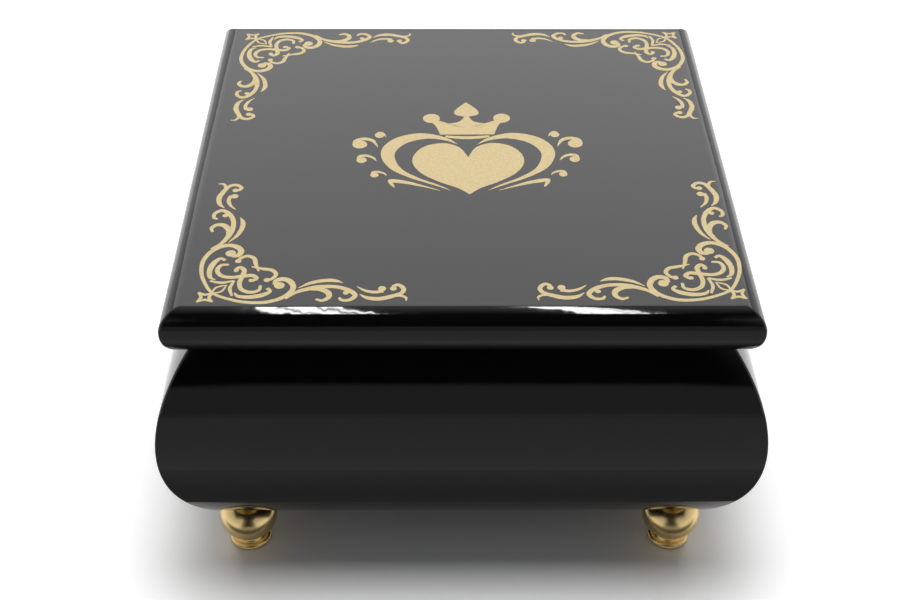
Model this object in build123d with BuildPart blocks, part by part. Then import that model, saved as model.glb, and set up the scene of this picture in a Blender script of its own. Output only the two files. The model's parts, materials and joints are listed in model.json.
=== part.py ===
"""Footed bombe music box: a lacquered case and lid, turned brass feet and an 18-note movement.

Millimetres, +Z up, front towards -Y. The origin is on the table, under the middle of the case.
"""
from build123d import *
from math import atan2, cos, pi, radians, sin, sqrt, tan
import os

os.makedirs("parts", exist_ok=True)

# Driving dimensions of the case
foot_height = 15.8
body_height = 58.5
base_thickness = 8.0
bulge_half = 74.1
bulge_radius = 44.0
bulge_rise = 30.5
corner_radius = 4.0
bottom_round = 1.2
cavity_half = 54.0

# Driving dimensions of the lid
lid_half = 70.0
lid_thickness = 13.0
lid_top_radius = 5.0
lid_nose_drop = 5.6
lid_under_radius = 8.0
lid_corner_radius = 3.0
lid_recess_half = 51.5
lid_recess_depth = 3.0
lid_pad_thickness = 2.6

# Small clearances that several fits share
screw_clearance = 0.06
running_clearance = 0.05
soft_gap = 0.3

# Levels that follow from the heights
base_z = foot_height
floor_z = base_z + base_thickness
bulge_z = base_z + bulge_rise
rim_z = base_z + body_height
lid_top_z = rim_z + lid_thickness


def bombe_half(z):
    """Half width of the bulged case at a height: one arc about a centre at the widest level."""
    return bulge_half - bulge_radius + sqrt(bulge_radius**2 - (z - bulge_z) ** 2)


def save(piece, name):
    """Label a finished piece and write it."""
    piece.part.label = name
    export_step(piece.part, f"parts/{name}.step")


# Bulged case form: the same arched outline crossed from front and side, arrises rounded
def bombe_outline():
    """Add the case's cross section, flat below and at the rim, to the sketch being built."""
    rim_half = bombe_half(rim_z)
    foot_half = bombe_half(base_z)
    with BuildLine() as outline:
        Line((-foot_half, base_z), (foot_half, base_z))
        ThreePointArc((foot_half, base_z), (bulge_half, bulge_z), (rim_half, rim_z))
        Line((rim_half, rim_z), (-rim_half, rim_z))
        ThreePointArc((-rim_half, rim_z), (-bulge_half, bulge_z), (-foot_half, base_z))
    make_face(outline.edges())


def on_diagonal(edge):
    """True for an edge that runs up one of the case's four corners."""
    middle = edge.center()
    return abs(abs(middle.X) - abs(middle.Y)) < 0.01 and edge.length > body_height / 2


with BuildPart() as case_form:
    with BuildSketch(Plane.XZ):
        bombe_outline()
    extrude(amount=bulge_half, both=True)
    with BuildSketch(Plane.YZ):
        bombe_outline()
    extrude(amount=bulge_half, both=True, mode=Mode.INTERSECT)
    fillet(case_form.edges().filter_by(on_diagonal), radius=corner_radius)
    fillet(case_form.faces().sort_by(Axis.Z)[0].edges(), radius=bottom_round)

# Hinges: two butt hinges at the back, pin axis level with the rim and just behind it
knuckle_radius = 1.75
knuckle_room = 0.25
hinge_offset = 2.5
hinge_y = bombe_half(rim_z) + hinge_offset
hinge_spacing = 74.0
hinge_length = 18.0
hinge_middle = 6.0
hinge_end_gap = 0.1
leaf_depth = 9.0
leaf_thickness = 0.9
leaf_sink = 0.05
pin_radius = 0.8
hinge_centres = {"left": -hinge_spacing / 2, "right": hinge_spacing / 2}
leaf_back_y = hinge_y - knuckle_radius - knuckle_room
leaf_front_y = leaf_back_y - leaf_depth
leaf_screw_y = leaf_front_y + leaf_depth / 2
leaf_screw_pitch = 11.0
leaf_screw_radius = 0.9
leaf_screw_head = 1.7
leaf_screw_length = 6.0
leaf_screw_angle = 100
leaf_screw_cone = (leaf_screw_head - leaf_screw_radius) / tan(radians(leaf_screw_angle / 2))
leaf_screw_spots = [
    (x + side * leaf_screw_pitch / 2, leaf_screw_y) for x in hinge_centres.values() for side in (-1, 1)
]

# Musical movement: where its arbor and its cylinder stand in the bay behind the partition
arbor_x = -18.0
axis_y = 33.0
bed_thickness = 2.0
bed_z = floor_z + bed_thickness
bed_size = (60.0, 45.0)
bed_corner_radius = 4.0
bed_x = arbor_x + 17.0
bed_y = axis_y - 3.5
arbor_radius = 1.6
arbor_hole_radius = 2.4
movement_screw_radius = 1.4
movement_screw_head = 2.8
movement_screw_head_height = 1.8
movement_screw_spots = [
    (bed_x - 25.5, bed_y - 17.5),
    (bed_x + 25.5, bed_y - 17.5),
    (bed_x - 5.0, bed_y + 18.5),
]
movement_boss_radius = 2.6
movement_boss_height = 1.6
movement_screw_tip = bed_z + movement_boss_height + 0.6

# Stop work: where the lid's pin and the bracket that guides it stand, and the small screws' size
stop_pin_x = 39.0
stop_y = axis_y + 12.1
stop_plate_y = stop_y + 2.2
stop_plate_x = 29.6
stop_plate_width = 13.0
stop_foot_depth = 5.0
stop_middle_x = stop_plate_x + stop_plate_width / 2
stop_screw_grip = 4.0
stop_screw_spots = [(stop_middle_x + side * 3.6, stop_plate_y - stop_foot_depth / 2) for side in (-1, 1)]
small_screw_radius = 0.9
small_screw_head = 1.7
small_screw_head_height = 0.9

# Feet: where they stand, and the studs that hold them
foot_inset = 56.3
foot_stud_radius = 1.8
foot_stud_in_foot = 6.0
foot_stud_in_base = 6.4
foot_spots = {
    "front_left": (-foot_inset, -foot_inset),
    "front_right": (foot_inset, -foot_inset),
    "back_left": (-foot_inset, foot_inset),
    "back_right": (foot_inset, foot_inset),
}

# Base board: the lowest slice of the case form, drilled for the feet, the movement and the key
with BuildPart() as base_board:
    add(case_form.part)
    split(bisect_by=Plane.XY.offset(floor_z), keep=Keep.BOTTOM)
    with BuildSketch(Plane.XY.offset(base_z)):
        with Locations(*foot_spots.values()):
            Circle(foot_stud_radius + screw_clearance)
    extrude(amount=foot_stud_in_base, mode=Mode.SUBTRACT)
    with BuildSketch(Plane.XY.offset(base_z)):
        with Locations(*movement_screw_spots):
            Circle(movement_screw_radius + screw_clearance)
        with Locations((arbor_x, axis_y)):
            Circle(arbor_hole_radius)
    extrude(amount=base_thickness, mode=Mode.SUBTRACT)
    with BuildSketch(Plane.XY.offset(floor_z)):
        with Locations(*stop_screw_spots):
            Circle(small_screw_radius + screw_clearance)
    extrude(amount=-stop_screw_grip, mode=Mode.SUBTRACT)
save(base_board, "base_board")

# Case walls: the rest of the form, hollowed square and mitred into four boards
with BuildPart() as wall_ring:
    add(case_form.part)
    split(bisect_by=Plane.XY.offset(floor_z), keep=Keep.TOP)
    with BuildSketch(Plane.XY.offset(floor_z)):
        Rectangle(2 * cavity_half, 2 * cavity_half)
    extrude(amount=rim_z - floor_z, mode=Mode.SUBTRACT)


def hinge_mortises(level, direction):
    """Cut both leaf mortises into the part being built, from a level and up or down."""
    with BuildSketch(Plane.XY.offset(level)) as mortises:
        with Locations(*[(x, (leaf_front_y + hinge_y) / 2) for x in hinge_centres.values()]):
            Rectangle(hinge_length, hinge_y - leaf_front_y)
    extrude(mortises.sketch, amount=direction * (leaf_thickness + leaf_sink), mode=Mode.SUBTRACT)


def leaf_screw_holes(level, direction):
    """Drill the hinge screws' pilot holes into the part being built."""
    with BuildSketch(Plane.XY.offset(level)) as holes:
        with Locations(*leaf_screw_spots):
            Circle(leaf_screw_radius + screw_clearance)
    extrude(holes.sketch, amount=direction * (leaf_screw_length + leaf_sink), mode=Mode.SUBTRACT)


wall_turns = {"front": -90, "right": 0, "back": 90, "left": 180}
for side, turn in wall_turns.items():
    with BuildPart() as wall:
        add(wall_ring.part)
        for mitre in (turn - 45, turn + 45):
            normal = (cos(radians(mitre)), sin(radians(mitre)), 0)
            split(bisect_by=Plane(origin=(0, 0, 0), z_dir=normal), keep=Keep.TOP)
        if side == "back":
            hinge_mortises(rim_z, -1)
            leaf_screw_holes(rim_z, -1)
    save(wall, f"wall_{side}")

# Feet: turned brass, with a base ring, a waist, a bulb, a neck and a flange under the case
foot_ring_radius = 5.6
foot_ring_height = 1.9
foot_waist_radius = 3.6
foot_waist_z = 2.7
foot_bulb_radius = 7.6
foot_bulb_z = 9.2
foot_bulb_low = 6.7
foot_bulb_high = 4.9
foot_neck_radius = 3.3
foot_neck_z = 13.6
foot_flange_radius = 4.6
foot_flange_height = 1.4


def bulb_radius_at(z):
    """Radius of the foot's bulb: an egg, longer below its widest level than above it."""
    reach = foot_bulb_high if z > foot_bulb_z else foot_bulb_low
    return foot_bulb_radius * sqrt(1 - ((z - foot_bulb_z) / reach) ** 2)


for corner, (foot_x, foot_y) in foot_spots.items():
    with BuildPart() as foot:
        with BuildSketch(Plane(origin=(foot_x, foot_y, 0), x_dir=(1, 0, 0), z_dir=(0, -1, 0))):
            with BuildLine():
                sole = foot_ring_radius - 0.6
                low_z = foot_waist_z + 0.7
                high_z = foot_neck_z - 0.4
                flange_z = foot_height - foot_flange_height
                Line((0, 0), (sole, 0))
                ThreePointArc((sole, 0), (foot_ring_radius, foot_ring_height / 2), (sole, foot_ring_height))
                Line((sole, foot_ring_height), (foot_waist_radius, foot_waist_z))
                Line((foot_waist_radius, foot_waist_z), (bulb_radius_at(low_z), low_z))
                middle_low = (low_z + foot_bulb_z) / 2
                ThreePointArc(
                    (bulb_radius_at(low_z), low_z),
                    (bulb_radius_at(middle_low), middle_low),
                    (foot_bulb_radius, foot_bulb_z),
                )
                middle_high = (high_z + foot_bulb_z) / 2
                ThreePointArc(
                    (foot_bulb_radius, foot_bulb_z),
                    (bulb_radius_at(middle_high), middle_high),
                    (bulb_radius_at(high_z), high_z),
                )
                Line((bulb_radius_at(high_z), high_z), (foot_neck_radius, foot_neck_z))
                Line((foot_neck_radius, foot_neck_z), (foot_neck_radius, flange_z))
                Line((foot_neck_radius, flange_z), (foot_flange_radius, flange_z))
                Line((foot_flange_radius, flange_z), (foot_flange_radius, foot_height))
                Line((foot_flange_radius, foot_height), (0, foot_height))
                Line((0, foot_height), (0, 0))
            make_face()
        revolve(axis=Axis((foot_x, foot_y, 0), (0, 0, 1)))
        with BuildSketch(Plane.XY.offset(foot_height)):
            with Locations((foot_x, foot_y)):
                Circle(foot_stud_radius + screw_clearance)
        extrude(amount=-foot_stud_in_foot, mode=Mode.SUBTRACT)
    save(foot, f"foot_{corner}")

# Foot studs: one threaded stud in each foot, driven into the base board
with BuildPart() as foot_studs:
    with BuildSketch(Plane.XY.offset(foot_height - foot_stud_in_foot)):
        with Locations(*foot_spots.values()):
            Circle(foot_stud_radius)
    extrude(amount=foot_stud_in_foot + foot_stud_in_base)
save(foot_studs, "foot_studs")

# Partition between the jewellery compartment and the movement bay, rebated for the clear cover
partition_y = 2.0
partition_thickness = 4.0
cover_drop = 6.0
cover_thickness = 2.0
cover_rebate = 2.0
cover_top_z = rim_z - cover_drop
cover_z = cover_top_z - cover_thickness
bay_front_y = partition_y + partition_thickness
with BuildPart() as partition:
    with BuildSketch(Plane.XY.offset(floor_z)):
        with Locations((0, partition_y + partition_thickness / 2)):
            Rectangle(2 * cavity_half, partition_thickness)
    extrude(amount=cover_top_z - floor_z)
    with BuildSketch(Plane.XY.offset(cover_z)):
        with Locations((0, bay_front_y - cover_rebate / 2)):
            Rectangle(2 * cavity_half, cover_rebate)
    extrude(amount=cover_thickness, mode=Mode.SUBTRACT)
save(partition, "partition")

# Cleats: two strips on the side walls that carry the clear cover
cleat_width = 4.0
cleat_height = 4.0
cover_screw_radius = 0.8
cover_screw_head = 1.6
cover_screw_head_height = 0.8
cover_screw_grip = 3.2
cover_fit = 0.2
cleat_x = cavity_half - cleat_width / 2
cleat_length = cavity_half - bay_front_y
cleat_y = bay_front_y + cleat_length / 2
cover_screw_spots = [
    (side * cleat_x, cleat_y + end * cleat_length / 3) for side in (-1, 1) for end in (-1, 1)
]
with BuildPart() as cover_cleats:
    with BuildSketch(Plane.XY.offset(cover_z)):
        with Locations((-cleat_x, cleat_y), (cleat_x, cleat_y)):
            Rectangle(cleat_width, cleat_length)
    extrude(amount=-cleat_height)
    with BuildSketch(Plane.XY.offset(cover_z)):
        with Locations(*cover_screw_spots):
            Circle(cover_screw_radius + screw_clearance)
    extrude(amount=-cover_screw_grip, mode=Mode.SUBTRACT)
save(cover_cleats, "cover_cleats")

# Stop pin: headed rod that the lid's pad presses, with a collar for its spring
stop_pin_radius = 1.0
stop_head_radius = 2.2
stop_head_height = 2.0
stop_travel = 3.0
stop_lever_top = 49.4
stop_pin_foot = stop_lever_top + soft_gap
lid_pad_z = rim_z + lid_recess_depth - lid_pad_thickness
stop_pin_top = lid_pad_z - soft_gap
stop_collar_radius = 2.3
stop_collar_height = 1.0
stop_collar_z = cover_z - stop_travel - stop_collar_height - soft_gap
with BuildPart() as stop_pin:
    with BuildSketch(Plane.XY.offset(stop_pin_foot)):
        with Locations((stop_pin_x, stop_y)):
            Circle(stop_pin_radius)
    extrude(amount=stop_pin_top - stop_pin_foot)
    with BuildSketch(Plane.XY.offset(stop_pin_top)):
        with Locations((stop_pin_x, stop_y)):
            Circle(stop_head_radius)
    extrude(amount=-stop_head_height)
    fillet(stop_pin.faces().sort_by(Axis.Z)[-1].edges(), radius=0.6)
    with BuildSketch(Plane.XY.offset(stop_collar_z)):
        with Locations((stop_pin_x, stop_y)):
            Circle(stop_collar_radius)
    extrude(amount=stop_collar_height)
save(stop_pin, "stop_pin")

# Clear cover over the movement, screwed to the cleats, with a hole that guides the stop pin
cover_front_y = bay_front_y - cover_rebate + cover_fit
cover_back_y = cavity_half - cover_fit
with BuildPart() as clear_cover:
    with BuildSketch(Plane.XY.offset(cover_z)):
        with Locations((0, (cover_front_y + cover_back_y) / 2)):
            Rectangle(2 * (cavity_half - cover_fit), cover_back_y - cover_front_y)
        with Locations((stop_pin_x, stop_y)):
            Circle(stop_pin_radius + running_clearance, mode=Mode.SUBTRACT)
        with Locations(*cover_screw_spots):
            Circle(cover_screw_radius + screw_clearance, mode=Mode.SUBTRACT)
    extrude(amount=cover_thickness)
save(clear_cover, "clear_cover")

with BuildPart() as cover_screws:
    with BuildSketch(Plane.XY.offset(cover_top_z)):
        with Locations(*cover_screw_spots):
            Circle(cover_screw_head)
    extrude(amount=cover_screw_head_height)
    with BuildSketch(Plane.XY.offset(cover_top_z)):
        with Locations(*cover_screw_spots):
            Circle(cover_screw_radius)
    extrude(amount=-(cover_thickness + cover_screw_grip - soft_gap))
save(cover_screws, "cover_screws")

# Linings of the jewellery compartment: covered boards on its four sides and a padded floor
lining_thickness = 1.2
lining_drop = 3.0
lining_pad_thickness = 2.6
compartment_width = 2 * cavity_half
compartment_depth = cavity_half + partition_y
compartment_y = partition_y - compartment_depth / 2
lining_top_z = rim_z - lining_drop
inner_width = compartment_width - 2 * lining_thickness
lining_boards = {
    "left": (-cavity_half + lining_thickness / 2, compartment_y, lining_thickness, compartment_depth, lining_top_z),
    "right": (cavity_half - lining_thickness / 2, compartment_y, lining_thickness, compartment_depth, lining_top_z),
    "front": (0, -cavity_half + lining_thickness / 2, inner_width, lining_thickness, lining_top_z),
    "back": (0, partition_y - lining_thickness / 2, inner_width, lining_thickness, cover_top_z),
}
for side, (board_x, board_y, width, depth, top_z) in lining_boards.items():
    with BuildPart() as lining_board:
        with BuildSketch(Plane.XY.offset(floor_z)):
            with Locations((board_x, board_y)):
                Rectangle(width, depth)
        extrude(amount=top_z - floor_z)
    save(lining_board, f"lining_{side}")

with BuildPart() as lining_floor:
    with BuildSketch(Plane.XY.offset(floor_z)):
        with Locations((0, compartment_y)):
            Rectangle(inner_width, compartment_depth - 2 * lining_thickness)
    extrude(amount=lining_pad_thickness)
save(lining_floor, "lining_floor")


# Hinges: a leaf in the back wall and one in the lid, each with its own knuckles round one pin
half_length = hinge_length / 2
half_middle = hinge_middle / 2
outer_low = (-half_length, -half_middle - hinge_end_gap)
outer_high = (half_middle + hinge_end_gap, half_length)
hinge_leaves = {
    "case": {
        "plate_z": rim_z - leaf_sink - leaf_thickness,
        "screw_turn": 0,
        "screw_z": rim_z - leaf_sink,
        "knuckles": [outer_low, outer_high],
        "notches": [(-half_middle - hinge_end_gap, half_middle + hinge_end_gap)],
    },
    "lid": {
        "plate_z": rim_z + leaf_sink,
        "screw_turn": 180,
        "screw_z": rim_z + leaf_sink,
        "knuckles": [(-half_middle, half_middle)],
        "notches": [(-half_length, -half_middle), (half_middle, half_length)],
    },
}
for side, hinge_x in hinge_centres.items():
    for owner, form in hinge_leaves.items():
        with BuildPart() as leaf:
            with BuildSketch(Plane.XY.offset(form["plate_z"])):
                with Locations((hinge_x, (leaf_front_y + hinge_y) / 2)):
                    Rectangle(hinge_length, hinge_y - leaf_front_y)
                for low, high in form["notches"]:
                    with Locations((hinge_x + (low + high) / 2, (leaf_back_y + hinge_y) / 2)):
                        Rectangle(high - low, hinge_y - leaf_back_y, mode=Mode.SUBTRACT)
            extrude(amount=leaf_thickness)
            for low, high in form["knuckles"]:
                with BuildSketch(Plane.YZ.offset(hinge_x + low)):
                    with Locations((hinge_y, rim_z)):
                        Circle(knuckle_radius)
                extrude(amount=high - low)
            with BuildSketch(Plane.YZ.offset(hinge_x - half_length)):
                with Locations((hinge_y, rim_z)):
                    Circle(pin_radius + running_clearance)
            extrude(amount=hinge_length, mode=Mode.SUBTRACT)
            seats = [(x, y, form["screw_z"]) for x, y in leaf_screw_spots if abs(x - hinge_x) < half_length]
            with Locations(*[Location(seat, (form["screw_turn"], 0, 0)) for seat in seats]):
                CounterSinkHole(
                    radius=leaf_screw_radius + screw_clearance,
                    counter_sink_radius=leaf_screw_head + screw_clearance,
                    depth=leaf_thickness,
                    counter_sink_angle=leaf_screw_angle,
                )
        save(leaf, f"hinge_leaf_{owner}_{side}")
    with BuildPart() as hinge_pin:
        with BuildSketch(Plane.YZ.offset(hinge_x - half_length)):
            with Locations((hinge_y, rim_z)):
                Circle(pin_radius)
        extrude(amount=hinge_length)
    save(hinge_pin, f"hinge_pin_{side}")

# Hinge screws: countersunk, flush with their leaves
for owner, form in hinge_leaves.items():
    with BuildPart() as hinge_screws:
        for x, y in leaf_screw_spots:
            with BuildSketch(Plane(origin=(x, y, 0), x_dir=(1, 0, 0), z_dir=(0, -1, 0))):
                with BuildLine():
                    drive = 1 if owner == "lid" else -1
                    head_z = form["screw_z"]
                    cone_end_z = head_z + drive * leaf_screw_cone
                    tip_z = head_z + drive * leaf_screw_length
                    Polyline(
                        (0, head_z),
                        (leaf_screw_head, head_z),
                        (leaf_screw_radius, cone_end_z),
                        (leaf_screw_radius, tip_z),
                        (0, tip_z),
                        close=True,
                    )
                make_face()
            revolve(axis=Axis((x, y, 0), (0, 0, 1)))
    save(hinge_screws, f"hinge_screws_{owner}")


# Lid: mitred moulded edge on all four sides, recessed below for its pad, mortised for the hinges
def lid_outline():
    """Add the lid's cross section to the sketch being built: round above, fuller round below."""
    nose_z = lid_top_z - lid_nose_drop
    top_half = lid_half - lid_top_radius
    top_arc_z = lid_top_z - lid_top_radius
    slope = sqrt(0.5)
    arc_half = lid_half - lid_under_radius
    under_drop = nose_z - rim_z
    under_half = arc_half + sqrt(lid_under_radius**2 - under_drop**2)
    middle_turn = 0.5 * atan2(under_drop, under_half - arc_half)
    middle = (arc_half + lid_under_radius * cos(middle_turn), nose_z - lid_under_radius * sin(middle_turn))
    with BuildLine() as outline:
        for side in (1, -1):
            ThreePointArc(
                (side * top_half, lid_top_z),
                (side * (top_half + lid_top_radius * slope), top_arc_z + lid_top_radius * slope),
                (side * lid_half, top_arc_z),
            )
            Line((side * lid_half, top_arc_z), (side * lid_half, nose_z))
            ThreePointArc((side * lid_half, nose_z), (side * middle[0], middle[1]), (side * under_half, rim_z))
        Line((-top_half, lid_top_z), (top_half, lid_top_z))
        Line((-under_half, rim_z), (under_half, rim_z))
    make_face(outline.edges())


with BuildPart() as lid_board:
    with BuildSketch(Plane.XZ):
        lid_outline()
    extrude(amount=lid_half, both=True)
    with BuildSketch(Plane.YZ):
        lid_outline()
    extrude(amount=lid_half, both=True, mode=Mode.INTERSECT)
    with BuildSketch(Plane.XY.offset(rim_z)):
        RectangleRounded(2 * lid_half, 2 * lid_half, lid_corner_radius)
    extrude(amount=lid_thickness, mode=Mode.INTERSECT)
    with BuildSketch(Plane.XY.offset(rim_z)):
        Rectangle(2 * lid_recess_half, 2 * lid_recess_half)
    extrude(amount=lid_recess_depth, mode=Mode.SUBTRACT)
    hinge_mortises(rim_z, 1)
    leaf_screw_holes(rim_z, 1)
    for hinge_x in hinge_centres.values():
        with BuildSketch(Plane.YZ.offset(hinge_x - half_length)):
            with Locations((hinge_y, rim_z)):
                Circle(knuckle_radius + knuckle_room)
        extrude(amount=hinge_length, mode=Mode.SUBTRACT)
save(lid_board, "lid_board")

# Lid pad: a padded lining in the recess, a little above the rim
with BuildPart() as lid_pad:
    with BuildSketch(Plane.XY.offset(lid_pad_z)):
        Rectangle(2 * lid_recess_half, 2 * lid_recess_half)
    extrude(amount=lid_pad_thickness)
save(lid_pad, "lid_pad")

# Drive train: gear sizes, and the levels and centres that follow from them
crown_module = 0.5
crown_teeth = 42
crown_tooth_height = 1.0
crown_face = 1.6
pinion_teeth = 16
train_module = 0.4
cylinder_gear_teeth = 40
governor_pinion_teeth = 10
governor_wheel_teeth = 24
gear_addendum = 1.0
gear_dedendum = 1.35
housing_radius = 12.0
housing_height = 9.0
housing_wall = 0.8
wheel_gap = 0.3
drive_wheel_thickness = 1.2
crown_radius = crown_module * crown_teeth / 2
pinion_radius = crown_module * pinion_teeth / 2
crown_base_z = bed_z + housing_height + wheel_gap + drive_wheel_thickness
axis_z = crown_base_z + crown_tooth_height / 2 + 0.05 + pinion_radius
cylinder_gear_radius = train_module * cylinder_gear_teeth / 2
governor_pinion_radius = train_module * governor_pinion_teeth / 2
governor_wheel_radius = train_module * governor_wheel_teeth / 2
train_distance = cylinder_gear_radius + governor_pinion_radius
train_angle = -53.0
governor_y = axis_y + train_distance * cos(radians(train_angle))
governor_z = axis_z + train_distance * sin(radians(train_angle))
cylinder_radius = 6.5
cylinder_length = 21.0
cylinder_start_x = arbor_x + 15.2
cylinder_end_x = cylinder_start_x + cylinder_length
bracket_thickness = 1.2
left_bracket_x = arbor_x + housing_radius + 0.6
right_bracket_x = cylinder_end_x + 2.8
shaft_radius = 1.0
gear_thickness = 1.2
cylinder_gear_x = cylinder_end_x + 0.6
governor_wheel_x = right_bracket_x + 4.0 - gear_thickness / 2
worm_radius = 1.3
worm_x = governor_wheel_x + gear_thickness / 2
worm_y = governor_y + governor_wheel_radius + worm_radius
fly_radius = 4.0
frame_back_y = worm_y + fly_radius + 1.0
bracket_foot = 4.6
bracket_foot_thickness = 1.0
left_foot_x = left_bracket_x + bracket_thickness
right_foot_x = right_bracket_x - bracket_foot
small_screw_spots = [
    (left_foot_x + bracket_foot / 2, axis_y),
    (right_foot_x + bracket_foot / 2, axis_y),
    (worm_x - 1.5, frame_back_y - 2.2),
]


def gear_face(teeth, module, turn, root_share=0.56, tip_share=0.26):
    """Add a straight-flanked gear outline; the shares are of the pitch, at root and tip."""
    pitch = pi * module
    tip_radius = module * (teeth / 2 + gear_addendum * 0.8)
    root_radius = module * (teeth / 2 - gear_dedendum)
    Circle(root_radius)
    with PolarLocations(0, teeth, start_angle=turn):
        Polygon(
            (root_radius - module / 4, -root_share * pitch / 2),
            (tip_radius, -tip_share * pitch / 2),
            (tip_radius, tip_share * pitch / 2),
            (root_radius - module / 4, root_share * pitch / 2),
            align=None,
        )


# Bedplate: cast plate with screw bosses and the pedestal that carries the comb
comb_reach = cylinder_radius + 0.8 + 0.2
comb_tooth_length = 12.0
comb_heel = 6.0
comb_thickness = 1.0
comb_teeth = 18
comb_pitch = 1.1
comb_slit = 0.3
comb_width = comb_teeth * comb_pitch + comb_slit
comb_x = (cylinder_start_x + cylinder_end_x) / 2
comb_z = axis_z - comb_thickness / 2
comb_back_y = axis_y - comb_reach
comb_root_y = comb_back_y - comb_tooth_length
comb_front_y = comb_root_y - comb_heel
comb_screw_radius = 1.0
comb_screw_head = 1.8
comb_screw_head_height = 1.2
comb_screw_grip = 4.0
comb_screw_spots = [(comb_x + side * comb_width / 4, comb_front_y + comb_heel / 2) for side in (-1, 1)]
with BuildPart() as bedplate:
    with BuildSketch(Plane.XY.offset(floor_z)):
        with Locations((bed_x, bed_y)):
            RectangleRounded(bed_size[0], bed_size[1], bed_corner_radius)
    extrude(amount=bed_thickness)
    with BuildSketch(Plane.XY.offset(bed_z)):
        with Locations(*movement_screw_spots):
            Circle(movement_boss_radius)
    extrude(amount=movement_boss_height)
    with BuildSketch(Plane.XY.offset(bed_z)):
        with Locations((comb_x, comb_front_y + comb_heel / 2)):
            Rectangle(comb_width, comb_heel)
    extrude(amount=comb_z - bed_z)
    with BuildSketch(Plane.XY.offset(floor_z)):
        with Locations((arbor_x, axis_y)):
            Circle(arbor_radius + running_clearance)
        with Locations(*movement_screw_spots):
            Circle(movement_screw_radius + screw_clearance)
    extrude(amount=bed_thickness + movement_boss_height, mode=Mode.SUBTRACT)
    with BuildSketch(Plane.XY.offset(comb_z)):
        with Locations(*comb_screw_spots):
            Circle(comb_screw_radius + screw_clearance)
    extrude(amount=-comb_screw_grip, mode=Mode.SUBTRACT)
    with BuildSketch(Plane.XY.offset(bed_z)):
        with Locations(*small_screw_spots):
            Circle(small_screw_radius + screw_clearance)
    extrude(amount=-bed_thickness, mode=Mode.SUBTRACT)
save(bedplate, "bedplate")

with BuildPart() as movement_screws:
    with BuildSketch(Plane.XY.offset(base_z)):
        with Locations(*movement_screw_spots):
            Circle(movement_screw_head)
    extrude(amount=-movement_screw_head_height)
    fillet(movement_screws.faces().group_by(Axis.Z)[0].edges(), radius=0.5)
    with BuildSketch(Plane.XY.offset(base_z)):
        with Locations(*movement_screw_spots):
            Circle(movement_screw_radius)
    extrude(amount=movement_screw_tip - base_z)
save(movement_screws, "movement_screws")

# Comb: hardened steel, eighteen tuned teeth sawn from one plate
with BuildPart() as comb:
    with BuildSketch(Plane.XY.offset(comb_z)):
        with Locations((comb_x, (comb_front_y + comb_back_y) / 2)):
            Rectangle(comb_width, comb_back_y - comb_front_y)
        with Locations((comb_x, (comb_root_y + comb_back_y) / 2)):
            with GridLocations(comb_pitch, 1, comb_teeth + 1, 1):
                Rectangle(comb_slit, comb_tooth_length, mode=Mode.SUBTRACT)
        with Locations(*comb_screw_spots):
            Circle(comb_screw_radius + screw_clearance, mode=Mode.SUBTRACT)
    extrude(amount=comb_thickness)
save(comb, "comb")

with BuildPart() as comb_screws:
    with BuildSketch(Plane.XY.offset(comb_z + comb_thickness)):
        with Locations(*comb_screw_spots):
            Circle(comb_screw_head)
    extrude(amount=comb_screw_head_height)
    with BuildSketch(Plane.XY.offset(comb_z + comb_thickness)):
        with Locations(*comb_screw_spots):
            Circle(comb_screw_radius)
    extrude(amount=-(comb_thickness + comb_screw_grip - soft_gap))
save(comb_screws, "comb_screws")

# Spring housing: a cup over the mainspring, fixed to the bedplate
arbor_hub_radius = 2.5
with BuildPart() as spring_housing:
    with BuildSketch(Plane.XY.offset(bed_z)):
        with Locations((arbor_x, axis_y)):
            Circle(housing_radius)
    extrude(amount=housing_height)
    fillet(spring_housing.faces().sort_by(Axis.Z)[-1].edges(), radius=housing_wall)
    with BuildSketch(Plane.XY.offset(bed_z)):
        with Locations((arbor_x, axis_y)):
            Circle(housing_radius - housing_wall)
    extrude(amount=housing_height - housing_wall, mode=Mode.SUBTRACT)
    with BuildSketch(Plane.XY.offset(bed_z)):
        with Locations((arbor_x, axis_y)):
            Circle(arbor_radius + running_clearance)
    extrude(amount=housing_height, mode=Mode.SUBTRACT)
save(spring_housing, "spring_housing")

# Mainspring: a flat strip wound in half circles from the arbor's hub out to the housing
spring_strip = 0.35
spring_height = 7.0
spring_half_turns = 12
spring_inner = arbor_hub_radius + spring_strip / 2 + soft_gap / 2
spring_outer = housing_radius - housing_wall - spring_strip / 2 - soft_gap / 2
spring_step = (spring_outer - spring_inner) / spring_half_turns
with BuildPart() as mainspring:
    with BuildSketch(Plane.XY.offset(bed_z + (housing_height - housing_wall - spring_height) / 2)):
        with BuildLine() as spring_line:
            near_x = arbor_x + spring_inner
            for turn in range(spring_half_turns):
                side = 1 if turn % 2 == 0 else -1
                reach = spring_inner + spring_step * (turn + 0.5)
                far_x = near_x - side * 2 * reach
                middle_x = (near_x + far_x) / 2
                ThreePointArc((near_x, axis_y), (middle_x, axis_y + side * reach), (far_x, axis_y))
                near_x = far_x
        trace(line_width=spring_strip)
    extrude(amount=spring_height)
save(mainspring, "mainspring")

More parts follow.
